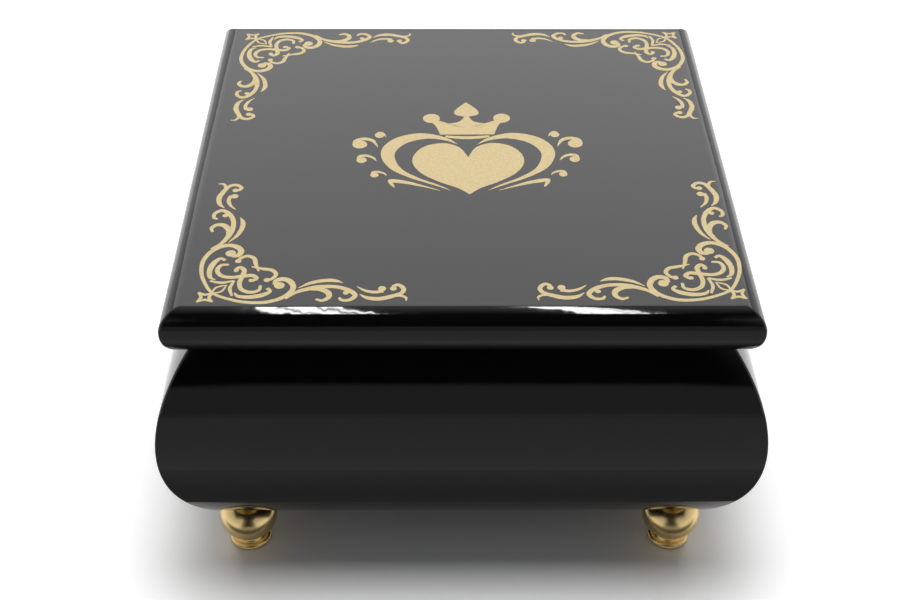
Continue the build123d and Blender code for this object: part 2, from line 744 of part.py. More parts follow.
# Winding arbor: hub inside the housing, shaft down through the base and up through the wheel
wheel_hub_height = 1.2
clutch_wire = 0.3
clutch_radius = arbor_radius + clutch_wire + 0.15
clutch_turns = 2.5
clutch_pitch = 0.66
clutch_z = crown_base_z + wheel_hub_height + clutch_wire + 0.02
clutch_top_z = clutch_z + clutch_turns * clutch_pitch + clutch_wire
nut_thickness = 1.0
nut_radius = 2.6
arbor_foot_z = 5.5
arbor_top_z = clutch_top_z + nut_thickness + 0.15
with BuildPart() as winding_arbor:
    with BuildSketch(Plane.XY.offset(arbor_foot_z)):
        with Locations((arbor_x, axis_y)):
            Circle(arbor_radius)
    extrude(amount=arbor_top_z - arbor_foot_z)
    with BuildSketch(Plane.XY.offset(bed_z + soft_gap)):
        with Locations((arbor_x, axis_y)):
            Circle(arbor_hub_radius)
    extrude(amount=housing_height - housing_wall - 2 * soft_gap)
save(winding_arbor, "winding_arbor")

with BuildPart() as arbor_nut:
    with BuildSketch(Plane.XY.offset(arbor_top_z - nut_thickness)):
        with Locations((arbor_x, axis_y)):
            RegularPolygon(nut_radius, 6)
            Circle(arbor_radius + screw_clearance, mode=Mode.SUBTRACT)
    extrude(amount=nut_thickness)
save(arbor_nut, "arbor_nut")

# Winding key: a butterfly key on the arbor's lower end, between the feet
key_hub_radius = 2.9
key_hub_top_z = 13.8
key_lobe_radius = 5.0
key_lobe_offset = 6.6
key_hole_radius = 2.0
key_thickness = 1.6
key_centre_z = 8.2
with BuildPart() as winding_key:
    with BuildSketch(Plane.XZ.offset(-axis_y)):
        with Locations((arbor_x - key_lobe_offset, key_centre_z), (arbor_x + key_lobe_offset, key_centre_z)):
            Circle(key_lobe_radius)
        with Locations((arbor_x, key_centre_z)):
            Rectangle(2 * key_lobe_offset, key_lobe_radius)
        with Locations((arbor_x - key_lobe_offset, key_centre_z), (arbor_x + key_lobe_offset, key_centre_z)):
            Circle(key_hole_radius, mode=Mode.SUBTRACT)
    extrude(amount=key_thickness / 2, both=True)
    with BuildSketch(Plane.XY.offset(arbor_foot_z)):
        with Locations((arbor_x, axis_y)):
            Circle(key_hub_radius)
    extrude(amount=key_hub_top_z - arbor_foot_z)
    with BuildSketch(Plane.XY.offset(arbor_foot_z)):
        with Locations((arbor_x, axis_y)):
            Circle(arbor_radius + screw_clearance)
    extrude(amount=key_hub_top_z - arbor_foot_z, mode=Mode.SUBTRACT)
save(winding_key, "winding_key")

# Drive wheel: runs free on the arbor, with crown teeth on its upper face
wheel_hub_radius = 2.8
crown_outer_radius = crown_radius + crown_face / 2
crown_root_width = 0.9
crown_tip_width = 0.42
with BuildPart() as drive_wheel:
    with BuildSketch(Plane.XY.offset(crown_base_z - drive_wheel_thickness)):
        with Locations((arbor_x, axis_y)):
            Circle(crown_outer_radius)
            with PolarLocations(crown_radius * 0.58, 5):
                Circle(1.9, mode=Mode.SUBTRACT)
    extrude(amount=drive_wheel_thickness)
    with BuildSketch(Plane.XY.offset(crown_base_z)):
        with Locations((arbor_x, axis_y)):
            Circle(wheel_hub_radius)
    extrude(amount=wheel_hub_height)
    with BuildSketch(Plane.XY.offset(crown_base_z - drive_wheel_thickness)):
        with Locations((arbor_x, axis_y)):
            Circle(arbor_radius + running_clearance)
    extrude(amount=drive_wheel_thickness + wheel_hub_height, mode=Mode.SUBTRACT)
    with BuildSketch(Plane.YZ.offset(arbor_x + crown_radius - crown_face / 2)) as crown_tooth:
        Polygon(
            (axis_y - crown_root_width / 2, crown_base_z - 0.1),
            (axis_y + crown_root_width / 2, crown_base_z - 0.1),
            (axis_y + crown_tip_width / 2, crown_base_z + crown_tooth_height),
            (axis_y - crown_tip_width / 2, crown_base_z + crown_tooth_height),
            align=None,
        )
    tooth = extrude(crown_tooth.sketch, amount=crown_face, mode=Mode.PRIVATE)
    crown_axis = Axis((arbor_x, axis_y, 0), (0, 0, 1))
    add([tooth.rotate(crown_axis, index * 360 / crown_teeth) for index in range(crown_teeth)])
save(drive_wheel, "drive_wheel")

# Clutch spring: a coil on the wheel's hub that grips the arbor one way only
with BuildPart() as clutch_spring:
    with BuildLine(Plane(origin=(arbor_x, axis_y, clutch_z))) as clutch_line:
        Helix(pitch=clutch_pitch, height=clutch_turns * clutch_pitch, radius=clutch_radius)
    with BuildSketch(Plane(origin=clutch_line.line @ 0, z_dir=clutch_line.line % 0)):
        Circle(clutch_wire)
    sweep(path=clutch_line.line, is_frenet=True)
save(clutch_spring, "clutch_spring")

# Cylinder: brass drum with its tune pins, on a steel shaft with the pinion and the large gear
pinion_x = arbor_x + crown_radius
shaft_start_x = pinion_x - crown_face / 2 - 0.5
shaft_end_x = right_bracket_x + bracket_thickness + 0.6
with BuildPart() as cylinder:
    with BuildSketch(Plane.YZ.offset(cylinder_start_x)):
        with Locations((axis_y, axis_z)):
            Circle(cylinder_radius)
            Circle(shaft_radius + screw_clearance, mode=Mode.SUBTRACT)
    extrude(amount=cylinder_length)
    chamfer(cylinder.faces().sort_by(Axis.X)[0].outer_wire().edges(), length=0.4)
    chamfer(cylinder.faces().sort_by(Axis.X)[-1].outer_wire().edges(), length=0.4)
save(cylinder, "cylinder")

tune_steps = 30
tune_pin = 0.36
tune_pin_height = 0.8
tune_pin_root = 0.3
tune_pins_per_tooth = 4
with BuildPart() as cylinder_pins:
    for tooth in range(comb_teeth):
        pin_x = comb_x + (tooth - (comb_teeth - 1) / 2) * comb_pitch
        for note in range(tune_pins_per_tooth):
            step = (tooth * 7 + note * 8 + (tooth * note) % 5) % tune_steps
            turn = 6 + step * 360 / tune_steps
            reach = cylinder_radius + tune_pin_height / 2 - tune_pin_root / 2
            spot = (pin_x, axis_y + reach * cos(radians(turn)), axis_z + reach * sin(radians(turn)))
            with Locations(Location(spot, (turn, 0, 0))):
                Box(tune_pin, tune_pin_height + tune_pin_root, tune_pin)
save(cylinder_pins, "cylinder_pins")

with BuildPart() as cylinder_shaft:
    with BuildSketch(Plane.YZ.offset(shaft_start_x)):
        with Locations((axis_y, axis_z)):
            Circle(shaft_radius)
    extrude(amount=shaft_end_x - shaft_start_x)
save(cylinder_shaft, "cylinder_shaft")

with BuildPart() as cylinder_pinion:
    with BuildSketch(Plane(origin=(pinion_x - crown_face / 2, axis_y, axis_z), x_dir=(0, 1, 0), z_dir=(1, 0, 0))):
        gear_face(pinion_teeth, crown_module, -90 + 180 / pinion_teeth)
        Circle(shaft_radius + screw_clearance, mode=Mode.SUBTRACT)
    extrude(amount=crown_face)
save(cylinder_pinion, "cylinder_pinion")

with BuildPart() as cylinder_gear:
    with BuildSketch(Plane(origin=(cylinder_gear_x, axis_y, axis_z), x_dir=(0, 1, 0), z_dir=(1, 0, 0))):
        gear_face(cylinder_gear_teeth, train_module, train_angle)
        Circle(shaft_radius + screw_clearance, mode=Mode.SUBTRACT)
    extrude(amount=gear_thickness)
save(cylinder_gear, "cylinder_gear")

# Governor wheel: one arbor with the pinion that the cylinder's gear drives and the worm's wheel
governor_shaft_radius = 0.6
governor_side_x = governor_wheel_x + gear_thickness / 2 + 2.6
governor_wheel_face = 0.8
with BuildPart() as governor_wheel:
    with BuildSketch(Plane.YZ.offset(cylinder_gear_x - 0.2)):
        with Locations((governor_y, governor_z)):
            Circle(governor_shaft_radius)
    extrude(amount=governor_side_x + bracket_thickness - cylinder_gear_x + 0.2)
    with BuildSketch(
        Plane(origin=(cylinder_gear_x - 0.2, governor_y, governor_z), x_dir=(0, 1, 0), z_dir=(1, 0, 0))
    ):
        gear_face(governor_pinion_teeth, train_module, train_angle + 180 + 180 / governor_pinion_teeth)
    extrude(amount=gear_thickness + 0.4)
    with BuildSketch(
        Plane(
            origin=(governor_wheel_x + gear_thickness / 2 - governor_wheel_face / 2, governor_y, governor_z),
            x_dir=(0, 1, 0),
            z_dir=(1, 0, 0),
        )
    ):
        gear_face(governor_wheel_teeth, train_module, 0)
    extrude(amount=governor_wheel_face)
save(governor_wheel, "governor_wheel")

# Governor worm: two-start endless screw with the air brake's hub
worm_root = 0.8
worm_tip = 1.6
worm_starts = 2
worm_length = 6.0
worm_pitch = pi * train_module
worm_lead = worm_starts * worm_pitch
worm_shaft_radius = 0.5
worm_low_z = governor_z - worm_length / 2
thread_root_width = 0.5
thread_tip_width = 0.26
thread_sink = 0.15
fly_low_z = governor_z + governor_wheel_radius + 1.0
fly_height = 7.0
fly_thickness = 0.5
fly_hub_radius = 1.3
governor_top_z = fly_low_z + fly_height + 1.4
worm_turn = -90 - 360 * (worm_length / 2 + worm_pitch / 2) / worm_lead
with BuildPart() as worm_thread:
    with BuildLine(Plane(origin=(worm_x, worm_y, worm_low_z))) as thread_line:
        Helix(pitch=worm_lead, height=worm_length, radius=worm_root)
    with BuildSketch(Plane(origin=thread_line.line @ 0, x_dir=(1, 0, 0), z_dir=thread_line.line % 0)):
        Polygon(
            (-thread_sink, -thread_root_width / 2),
            (worm_tip - worm_root, -thread_tip_width / 2),
            (worm_tip - worm_root, thread_tip_width / 2),
            (-thread_sink, thread_root_width / 2),
            align=None,
        )
    sweep(path=thread_line.line, is_frenet=True)

with BuildPart() as governor_worm:
    with BuildSketch(Plane.XY.offset(bed_z + 0.3)):
        with Locations((worm_x, worm_y)):
            Circle(worm_shaft_radius)
    extrude(amount=governor_top_z + bracket_thickness - bed_z - 0.3)
    with BuildSketch(Plane.XY.offset(worm_low_z - 0.4)):
        with Locations((worm_x, worm_y)):
            Circle(worm_root)
    extrude(amount=worm_length + 0.8)
    worm_axis = Axis((worm_x, worm_y, 0), (0, 0, 1))
    add([worm_thread.part.rotate(worm_axis, worm_turn + start * 360 / worm_starts) for start in range(worm_starts)])
save(governor_worm, "governor_worm")

# Air brake: two vanes on the worm's shaft, above the wheel
with BuildPart() as governor_fly:
    with BuildSketch(Plane.XY.offset(fly_low_z)):
        with Locations((worm_x, worm_y)):
            Circle(fly_hub_radius)
            Rectangle(2 * fly_radius, fly_thickness)
            Circle(worm_shaft_radius + screw_clearance, mode=Mode.SUBTRACT)
    extrude(amount=fly_height)
save(governor_fly, "governor_fly")

# Cylinder brackets: angle plates on the bedplate that carry the shafts
bracket_head_radius = 2.6


def bracket_base(foot_x):
    """Add a bracket's foot on the bedplate, drilled for its screw, to the part being built."""
    with BuildSketch(Plane.XY.offset(bed_z)) as foot_plan:
        with Locations((foot_x + bracket_foot / 2, axis_y)):
            Rectangle(bracket_foot, 2 * bracket_head_radius)
            Circle(small_screw_radius + screw_clearance, mode=Mode.SUBTRACT)
    extrude(foot_plan.sketch, amount=bracket_foot_thickness)


with BuildPart() as bracket_left:
    with BuildSketch(Plane.YZ.offset(left_bracket_x)):
        with Locations((axis_y, axis_z)):
            Circle(bracket_head_radius)
        with Locations((axis_y, (bed_z + axis_z) / 2)):
            Rectangle(2 * bracket_head_radius, axis_z - bed_z)
        with Locations((axis_y, axis_z)):
            Circle(shaft_radius + running_clearance, mode=Mode.SUBTRACT)
    extrude(amount=bracket_thickness)
    bracket_base(left_foot_x)
save(bracket_left, "bracket_left")

with BuildPart() as bracket_right:
    with BuildSketch(Plane.YZ.offset(right_bracket_x)):
        with Locations((axis_y, axis_z)):
            Circle(bracket_head_radius)
        with Locations((axis_y, (bed_z + axis_z) / 2)):
            Rectangle(2 * bracket_head_radius, axis_z - bed_z)
        with Locations((governor_y, governor_z)):
            Circle(bracket_head_radius)
        with Locations(((axis_y + governor_y + bracket_head_radius) / 2, (bed_z + governor_z) / 2)):
            Rectangle(governor_y + bracket_head_radius - axis_y, governor_z - bed_z)
        with Locations((axis_y, axis_z)):
            Circle(shaft_radius + running_clearance, mode=Mode.SUBTRACT)
        with Locations((governor_y, governor_z)):
            Circle(governor_shaft_radius + running_clearance, mode=Mode.SUBTRACT)
    extrude(amount=bracket_thickness)
    bracket_base(right_foot_x)
save(bracket_right, "bracket_right")

# Governor frame: foot, side plate, back plate and top arm that carry the wheel and the worm
frame_half_width = 4.5
frame_front_gap = 2.2
frame_arm_width = 4.4
with BuildPart() as governor_frame:
    with BuildSketch(Plane.XY.offset(bed_z)):
        with Locations((worm_x, (worm_y - frame_front_gap + frame_back_y) / 2)):
            Rectangle(2 * frame_half_width, frame_back_y - worm_y + frame_front_gap)
        with Locations(small_screw_spots[-1]):
            Circle(small_screw_radius + screw_clearance, mode=Mode.SUBTRACT)
    extrude(amount=bracket_foot_thickness)
    with BuildSketch(Plane.XY.offset(bed_z)):
        with Locations((worm_x, frame_back_y + bracket_thickness / 2)):
            Rectangle(2 * frame_half_width, bracket_thickness)
    extrude(amount=governor_top_z + bracket_thickness - bed_z)
    with BuildSketch(Plane.XY.offset(governor_top_z)):
        with Locations((worm_x, (worm_y + frame_back_y) / 2)):
            Rectangle(frame_arm_width, frame_back_y - worm_y)
        with Locations((worm_x, worm_y)):
            Circle(frame_arm_width / 2)
    extrude(amount=bracket_thickness)
    with BuildSketch(Plane.YZ.offset(governor_side_x)):
        with Locations((governor_y, governor_z)):
            Circle(bracket_head_radius)
        with Locations(((governor_y - bracket_head_radius + frame_back_y) / 2, (bed_z + governor_z) / 2)):
            Rectangle(frame_back_y - governor_y + bracket_head_radius, governor_z - bed_z)
        with Locations((governor_y, governor_z)):
            Circle(governor_shaft_radius + running_clearance, mode=Mode.SUBTRACT)
    extrude(amount=bracket_thickness)
    with BuildSketch(Plane.XY.offset(bed_z)):
        with Locations((worm_x, worm_y)):
            Circle(worm_shaft_radius + running_clearance)
    extrude(amount=governor_top_z + bracket_thickness - bed_z, mode=Mode.SUBTRACT)
save(governor_frame, "governor_frame")

# Movement's small screws: one in each cylinder bracket and one in the governor frame
small_screw_grip = bed_thickness - soft_gap
with BuildPart() as small_screws:
    with BuildSketch(Plane.XY.offset(bed_z + bracket_foot_thickness)):
        with Locations(*small_screw_spots):
            Circle(small_screw_head)
    extrude(amount=small_screw_head_height)
    with BuildSketch(Plane.XY.offset(bed_z + bracket_foot_thickness)):
        with Locations(*small_screw_spots):
            Circle(small_screw_radius)
    extrude(amount=-(bracket_foot_thickness + small_screw_grip))
save(small_screws, "small_screws")

# Stop bracket: foot on the base board, upright plate and the tongue that guides the pin
lever_y = stop_y
lever_thickness = 1.2
lever_pivot_x = 31.5
lever_pivot_z = stop_lever_top - 0.4
pivot_journal_radius = 0.8
stop_tongue_z = 56.0
stop_tongue_width = 6.0
stop_tongue_front_y = stop_y - stop_collar_radius
with BuildPart() as stop_bracket:
    with BuildSketch(Plane.XY.offset(floor_z)):
        with Locations((stop_middle_x, stop_plate_y - stop_foot_depth / 2)):
            Rectangle(stop_plate_width, stop_foot_depth)
        with Locations(*stop_screw_spots):
            Circle(small_screw_radius + screw_clearance, mode=Mode.SUBTRACT)
    extrude(amount=bracket_thickness)
    with BuildSketch(Plane.XZ.offset(-stop_plate_y)):
        with Locations((stop_middle_x, (floor_z + stop_tongue_z) / 2)):
            Rectangle(stop_plate_width, stop_tongue_z - floor_z)
        with Locations((lever_pivot_x, lever_pivot_z)):
            Circle(pivot_journal_radius + screw_clearance, mode=Mode.SUBTRACT)
    extrude(amount=-bracket_thickness)
    with BuildSketch(Plane.XY.offset(stop_tongue_z)):
        with Locations((stop_pin_x, (stop_tongue_front_y + stop_plate_y) / 2)):
            Rectangle(stop_tongue_width, stop_plate_y - stop_tongue_front_y)
        with Locations((stop_pin_x, stop_y)):
            Circle(stop_pin_radius + running_clearance, mode=Mode.SUBTRACT)
    extrude(amount=-bracket_thickness)
save(stop_bracket, "stop_bracket")

with BuildPart() as stop_bracket_screws:
    with BuildSketch(Plane.XY.offset(floor_z + bracket_thickness)):
        with Locations(*stop_screw_spots):
            Circle(small_screw_head)
    extrude(amount=small_screw_head_height)
    with BuildSketch(Plane.XY.offset(floor_z + bracket_thickness)):
        with Locations(*stop_screw_spots):
            Circle(small_screw_radius)
    extrude(amount=soft_gap - bracket_thickness - stop_screw_grip)
save(stop_bracket_screws, "stop_bracket_screws")

# Stop pivot: a headed stud riveted into the bracket, with a shoulder behind the lever
pivot_shoulder_radius = 1.5
pivot_head_radius = 1.4
pivot_head_height = 0.8
pivot_side_gap = 0.15
pivot_head_y = lever_y - lever_thickness / 2 - pivot_side_gap
pivot_shoulder_y = lever_y + lever_thickness / 2 + pivot_side_gap
with BuildPart() as stop_pivot:
    with BuildSketch(Plane.XZ.offset(-(stop_plate_y + bracket_thickness))):
        with Locations((lever_pivot_x, lever_pivot_z)):
            Circle(pivot_journal_radius)
    extrude(amount=stop_plate_y + bracket_thickness - pivot_head_y)
    with BuildSketch(Plane.XZ.offset(-pivot_head_y)):
        with Locations((lever_pivot_x, lever_pivot_z)):
            Circle(pivot_head_radius)
    extrude(amount=pivot_head_height)
    with BuildSketch(Plane.XZ.offset(-stop_plate_y)):
        with Locations((lever_pivot_x, lever_pivot_z)):
            Circle(pivot_shoulder_radius)
    extrude(amount=stop_plate_y - pivot_shoulder_y)
save(stop_pivot, "stop_pivot")

# Stop lever: a flat arm under the pin and a finger that hangs beside the air brake
lever_arm_end_x = stop_pin_x + 2.0
lever_arm_height = 2.0
lever_arm_z = stop_lever_top - lever_arm_height / 2
lever_boss_radius = 2.0
finger_width = 1.5
finger_gap = 0.45
finger_x = worm_x + fly_radius + finger_gap
finger_low_z = fly_low_z + 2.0
with BuildPart() as stop_lever:
    with BuildSketch(Plane.XZ.offset(-(lever_y + lever_thickness / 2))):
        with Locations((lever_pivot_x, lever_pivot_z)):
            Circle(lever_boss_radius)
        with Locations(((finger_x + lever_arm_end_x) / 2, lever_arm_z)):
            Rectangle(lever_arm_end_x - finger_x, lever_arm_height)
        with Locations((finger_x + finger_width / 2, (finger_low_z + lever_arm_z) / 2)):
            Rectangle(finger_width, lever_arm_z - finger_low_z)
        with Locations((lever_pivot_x, lever_pivot_z)):
            Circle(pivot_journal_radius + running_clearance, mode=Mode.SUBTRACT)
    extrude(amount=lever_thickness)
save(stop_lever, "stop_lever")

# Stop spring: a compression coil between the bracket's tongue and the pin's collar
stop_spring_wire = 0.25
stop_spring_radius = stop_pin_radius + soft_gap + stop_spring_wire
stop_spring_turns = 4
stop_spring_low_z = stop_tongue_z + stop_spring_wire + running_clearance
stop_spring_high_z = stop_collar_z - stop_spring_wire - running_clearance
stop_spring_rise = stop_spring_high_z - stop_spring_low_z
with BuildPart() as stop_spring:
    with BuildLine(Plane(origin=(stop_pin_x, stop_y, stop_spring_low_z))) as coil_line:
        Helix(pitch=stop_spring_rise / stop_spring_turns, height=stop_spring_rise, radius=stop_spring_radius)
    with BuildSketch(Plane(origin=coil_line.line @ 0, z_dir=coil_line.line % 0)):
        Circle(stop_spring_wire)
    sweep(path=coil_line.line, is_frenet=True)
save(stop_spring, "stop_spring")

# Lever spring: a small torsion coil round the pivot's shoulder that lifts the lever off the brake
lever_spring_wire = 0.18
lever_spring_radius = pivot_shoulder_radius + lever_spring_wire + 0.1
lever_spring_turns = 2.5
lever_spring_pitch = 0.4
lever_spring_y = pivot_shoulder_y + lever_spring_wire + running_clearance
with BuildPart() as lever_spring:
    with BuildLine() as lever_coil:
        Helix(
            pitch=lever_spring_pitch,
            height=lever_spring_turns * lever_spring_pitch,
            radius=lever_spring_radius,
            center=(lever_pivot_x, lever_spring_y, lever_pivot_z),
            direction=(0, 1, 0),
        )
    with BuildSketch(Plane(origin=lever_coil.line @ 0, z_dir=lever_coil.line % 0)):
        Circle(lever_spring_wire)
    sweep(path=lever_coil.line, is_frenet=True)
save(lever_spring, "lever_spring")
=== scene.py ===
"""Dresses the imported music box: black lacquer, gold print, turned brass, velvet and the movement's metals.

Metres, +Z up, front towards -Y. Every piece has its place in its mesh, and its object sits at the origin.
"""
import json
from math import pi, radians

import bmesh
import bpy
import numpy as np
from mathutils import Matrix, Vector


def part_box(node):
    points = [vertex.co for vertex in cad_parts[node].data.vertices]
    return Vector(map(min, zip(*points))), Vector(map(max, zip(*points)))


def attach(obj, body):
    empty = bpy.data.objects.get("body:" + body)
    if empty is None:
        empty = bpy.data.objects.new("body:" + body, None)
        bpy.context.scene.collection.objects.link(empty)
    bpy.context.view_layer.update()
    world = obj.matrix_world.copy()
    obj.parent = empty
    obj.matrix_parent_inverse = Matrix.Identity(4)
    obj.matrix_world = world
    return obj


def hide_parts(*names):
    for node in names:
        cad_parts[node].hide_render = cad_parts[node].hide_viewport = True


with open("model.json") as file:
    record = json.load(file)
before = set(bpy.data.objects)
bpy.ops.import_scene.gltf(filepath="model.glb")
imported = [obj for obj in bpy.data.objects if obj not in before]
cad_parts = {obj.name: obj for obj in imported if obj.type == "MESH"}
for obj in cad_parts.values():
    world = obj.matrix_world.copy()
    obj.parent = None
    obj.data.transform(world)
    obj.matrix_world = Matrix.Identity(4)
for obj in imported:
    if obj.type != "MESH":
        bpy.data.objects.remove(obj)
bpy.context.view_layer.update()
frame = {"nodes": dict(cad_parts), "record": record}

# Studio: a white sweep under a pale sky, with a soft lamp overhead and a soft box behind, which the lid's
# top reflects. Two groups of lamp tubes light the lacquer alone, and streak the lid's front moulding. The
# cards in front and overhead stand for the unlit middle of the room, and only glossy surfaces show them.
scene = bpy.context.scene
scene.view_settings.view_transform = "Standard"


def add_node(tree, kind, operation=None, **inputs):
    """Add a shader node to a tree. Each input goes by its name, with underscores for spaces, or by its
    number, as _0. It is joined to a node's output, or set to any other value."""
    node = tree.nodes.new("ShaderNode" + kind)
    if operation:
        node.operation = operation
    for key, value in inputs.items():
        socket = node.inputs[int(key[1:]) if key[1:].isdigit() else key.replace("_", " ")]
        if isinstance(value, bpy.types.NodeSocket):
            tree.links.new(value, socket)
        else:
            socket.default_value = value
    return node


def math_step(tree, operation, *terms, kind="Math"):
    """The output of one step of arithmetic, whose terms are node outputs or fixed values."""
    step = add_node(tree, kind, operation, **{f"_{place}": term for place, term in enumerate(terms)})
    return step.outputs["Value" if kind == "Math" or operation == "LENGTH" else "Vector"]


def mapped(tree, value, from_min, from_max, to_min=0.0, to_max=1.0, smooth=False):
    """A value carried from one range to another and held at its ends, eased at both if smooth."""
    change = add_node(
        tree, "MapRange", Value=value, From_Min=from_min, From_Max=from_max, To_Min=to_min, To_Max=to_max
    )
    change.interpolation_type = "SMOOTHSTEP" if smooth else "LINEAR"
    return change.outputs[0]


sky = bpy.data.worlds.new("studio_sky")
sky.use_nodes = True
sky_tree = sky.node_tree
sky_light = sky_tree.nodes["Background"]
sky_light.inputs["Color"].default_value = (0.97, 0.98, 1.0, 1)
sky_light.inputs["Strength"].default_value = 0.20
sky_rays = add_node(sky_tree, "LightPath").outputs
sky_height = add_node(sky_tree, "SeparateXYZ", _0=add_node(sky_tree, "TexCoord").outputs["Generated"])
sky_glow = mapped(sky_tree, sky_height.outputs["Z"], 0.15, 0.95, 1.0, 0.30)
sky_glow = math_step(sky_tree, "MAXIMUM", sky_glow, sky_rays["Is Camera Ray"])
sky_seen = add_node(sky_tree, "Background", Color=(1, 1, 1, 1), Strength=sky_glow)
sky_shown = math_step(sky_tree, "MAXIMUM", sky_rays["Is Camera Ray"], sky_rays["Is Glossy Ray"])
sky_shown = math_step(sky_tree, "MAXIMUM", sky_shown, sky_rays["Is Transmission Ray"])
sky_mix = add_node(sky_tree, "MixShader", Fac=sky_shown, _1=sky_light.outputs[0], _2=sky_seen.outputs[0])
sky_tree.links.new(sky_mix.outputs[0], sky_tree.nodes["World Output"].inputs["Surface"])
scene.world = sky


def plain_material(name, colour, roughness, metallic=0.0, **values):
    """A Principled material with even values, given by socket name with underscores for spaces."""
    material = bpy.data.materials.new(name)
    material.use_nodes = True
    shader = material.node_tree.nodes["Principled BSDF"]
    shader.inputs["Base Color"].default_value = (*colour, 1)
    shader.inputs["Roughness"].default_value = roughness
    shader.inputs["Metallic"].default_value = metallic
    for socket, value in values.items():
        shader.inputs[socket.replace("_", " ")].default_value = value
    return material


def surface_mesh(name, points, wrap_across=False, wrap_along=False):
    """Mesh data from a grid of points: each row is joined to the next, and closed on itself if asked."""
    rows, columns = points.shape[:2]
    index = np.arange(rows * columns).reshape(rows, columns)
    if wrap_across:
        index = np.hstack([index, index[:, :1]])
    if wrap_along:
        index = np.vstack([index, index[:1]])
    quads = np.stack([index[:-1, :-1], index[:-1, 1:], index[1:, 1:], index[1:, :-1]], axis=-1)
    mesh = bpy.data.meshes.new(name)
    mesh.from_pydata(points.reshape(-1, 3).tolist(), [], quads.reshape(-1, 4).tolist())
    mesh.update()
    return mesh


def add_piece(name, mesh, material, sharp=32):
    """Object for a mesh, shaded smooth except at edges sharper than an angle in degrees."""
    mesh.materials.append(material)
    mesh.polygons.foreach_set("use_smooth", np.ones(len(mesh.polygons), dtype=bool))
    mesh.set_sharp_from_angle(angle=radians(sharp))
    piece = bpy.data.objects.new(name, mesh)
    scene.collection.objects.link(piece)
    return piece


def flat_card(name, low, high, material):
    """A flat rectangle between two opposite corners that share one coordinate."""
    low, high = np.array(low, float), np.array(high, float)
    flat = int(np.argmin(np.abs(high - low)))
    first, second = [axis for axis in range(3) if axis != flat]
    points = np.tile(low, (2, 2, 1))
    points[1, :, first] = high[first]
    points[:, 1, second] = high[second]
    card = add_piece(name, surface_mesh(name, points), material)
    return card


def drive(material, **outputs):
    """Join node outputs to the named sockets of a material's own shader."""
    tree = material.node_tree
    for socket, output in outputs.items():
        tree.links.new(output, tree.nodes["Principled BSDF"].inputs[socket.replace("_", " ")])


def distance_past(tree, half_sizes):
    """How far a point of the object lies outside a box about the origin: the length of what is left of its
    coordinates, without their signs, when the box's half sizes are taken off."""
    past = math_step(tree, "ABSOLUTE", add_node(tree, "TexCoord").outputs["Object"], kind="VectorMath")
    past = math_step(tree, "SUBTRACT", past, half_sizes, kind="VectorMath")
    past = math_step(tree, "MAXIMUM", past, (0, 0, 0), kind="VectorMath")
    return math_step(tree, "LENGTH", past, kind="VectorMath")


# The floor is white matt card. Away from the box, what is seen of it glows a little, a painted light so that
# it comes out white as an overexposed sweep does. The glow fades out towards the box, so under and beside it
# the darkening is partly the lamps' real shadow and partly painted shade, where the glow is held back.
floor_white = plain_material("floor_white", (0.96, 0.96, 0.955), 0.55, Emission_Color=(1, 1, 1, 1))
floor_tree = floor_white.node_tree
floor_half = 3.0
shadow_half = 0.064
past_shadow = distance_past(floor_tree, (shadow_half, shadow_half, 0))
# Painted light and shade: the glow is nothing at the box's edge and rises away from it
near_glow = mapped(floor_tree, past_shadow, 0.0, 0.030, 0.0, 0.42, smooth=True)
far_glow = mapped(floor_tree, past_shadow, 0.15, 1.3, 0.0, 0.6, smooth=True)
floor_rays = add_node(floor_tree, "LightPath").outputs
floor_seen = math_step(floor_tree, "MAXIMUM", floor_rays["Is Camera Ray"], floor_rays["Is Glossy Ray"])
floor_glow = math_step(floor_tree, "ADD", near_glow, far_glow)
drive(floor_white, Emission_Strength=math_step(floor_tree, "MULTIPLY", floor_seen, floor_glow))
flat_card("floor", (-floor_half, -floor_half, 0), (floor_half, floor_half, 0), floor_white)

room_half = 0.62
room_front = -0.95
room_back = 0.75
room_low = 0.006
room_top = 1.06
side_fade_start = 0.28
dim_end = -0.10
shaded_end = -0.066


def room_card(name, start, end, axis, places, glows):
    """A card right across the room between two (y, z) edges. Only glossy surfaces show it, and it neither
    lights nor shades. Its brightness goes smoothly from one glow to the other between two places along an
    axis, and to white at both sides."""
    material = plain_material(name, (0, 0, 0), 1.0, Specular_IOR_Level=0.0, Emission_Color=(1, 1, 1, 1))
    tree = material.node_tree
    place = add_node(tree, "SeparateXYZ", _0=add_node(tree, "TexCoord").outputs["Object"]).outputs
    along = mapped(tree, place[axis], *places, *glows, smooth=True)
    aside = mapped(tree, math_step(tree, "ABSOLUTE", place["X"]), side_fade_start, room_half, smooth=True)
    drive(material, Emission_Strength=math_step(tree, "MAXIMUM", along, aside))
    card = flat_card(name, (-room_half, *start), (room_half, *end), material)
    card.visible_camera = card.visible_diffuse = card.visible_shadow = card.visible_transmission = False


room_card("dark_wall", (room_front, room_low), (room_front, room_top), "Z", (0.22, 0.30), (0.25, 0.0))
room_card("dim_floor", (room_front, room_low), (dim_end, room_low), "Y", (-0.52, -0.30), (0.25, 0.42))
room_card("shaded_floor", (dim_end, room_low), (shaded_end, room_low), "Y", (-0.115, -0.066), (0.42, 0.08))
room_card("ceiling", (room_front, room_top), (room_back, room_top), "Y", (-0.30, 0.52), (0.0, 0.55))


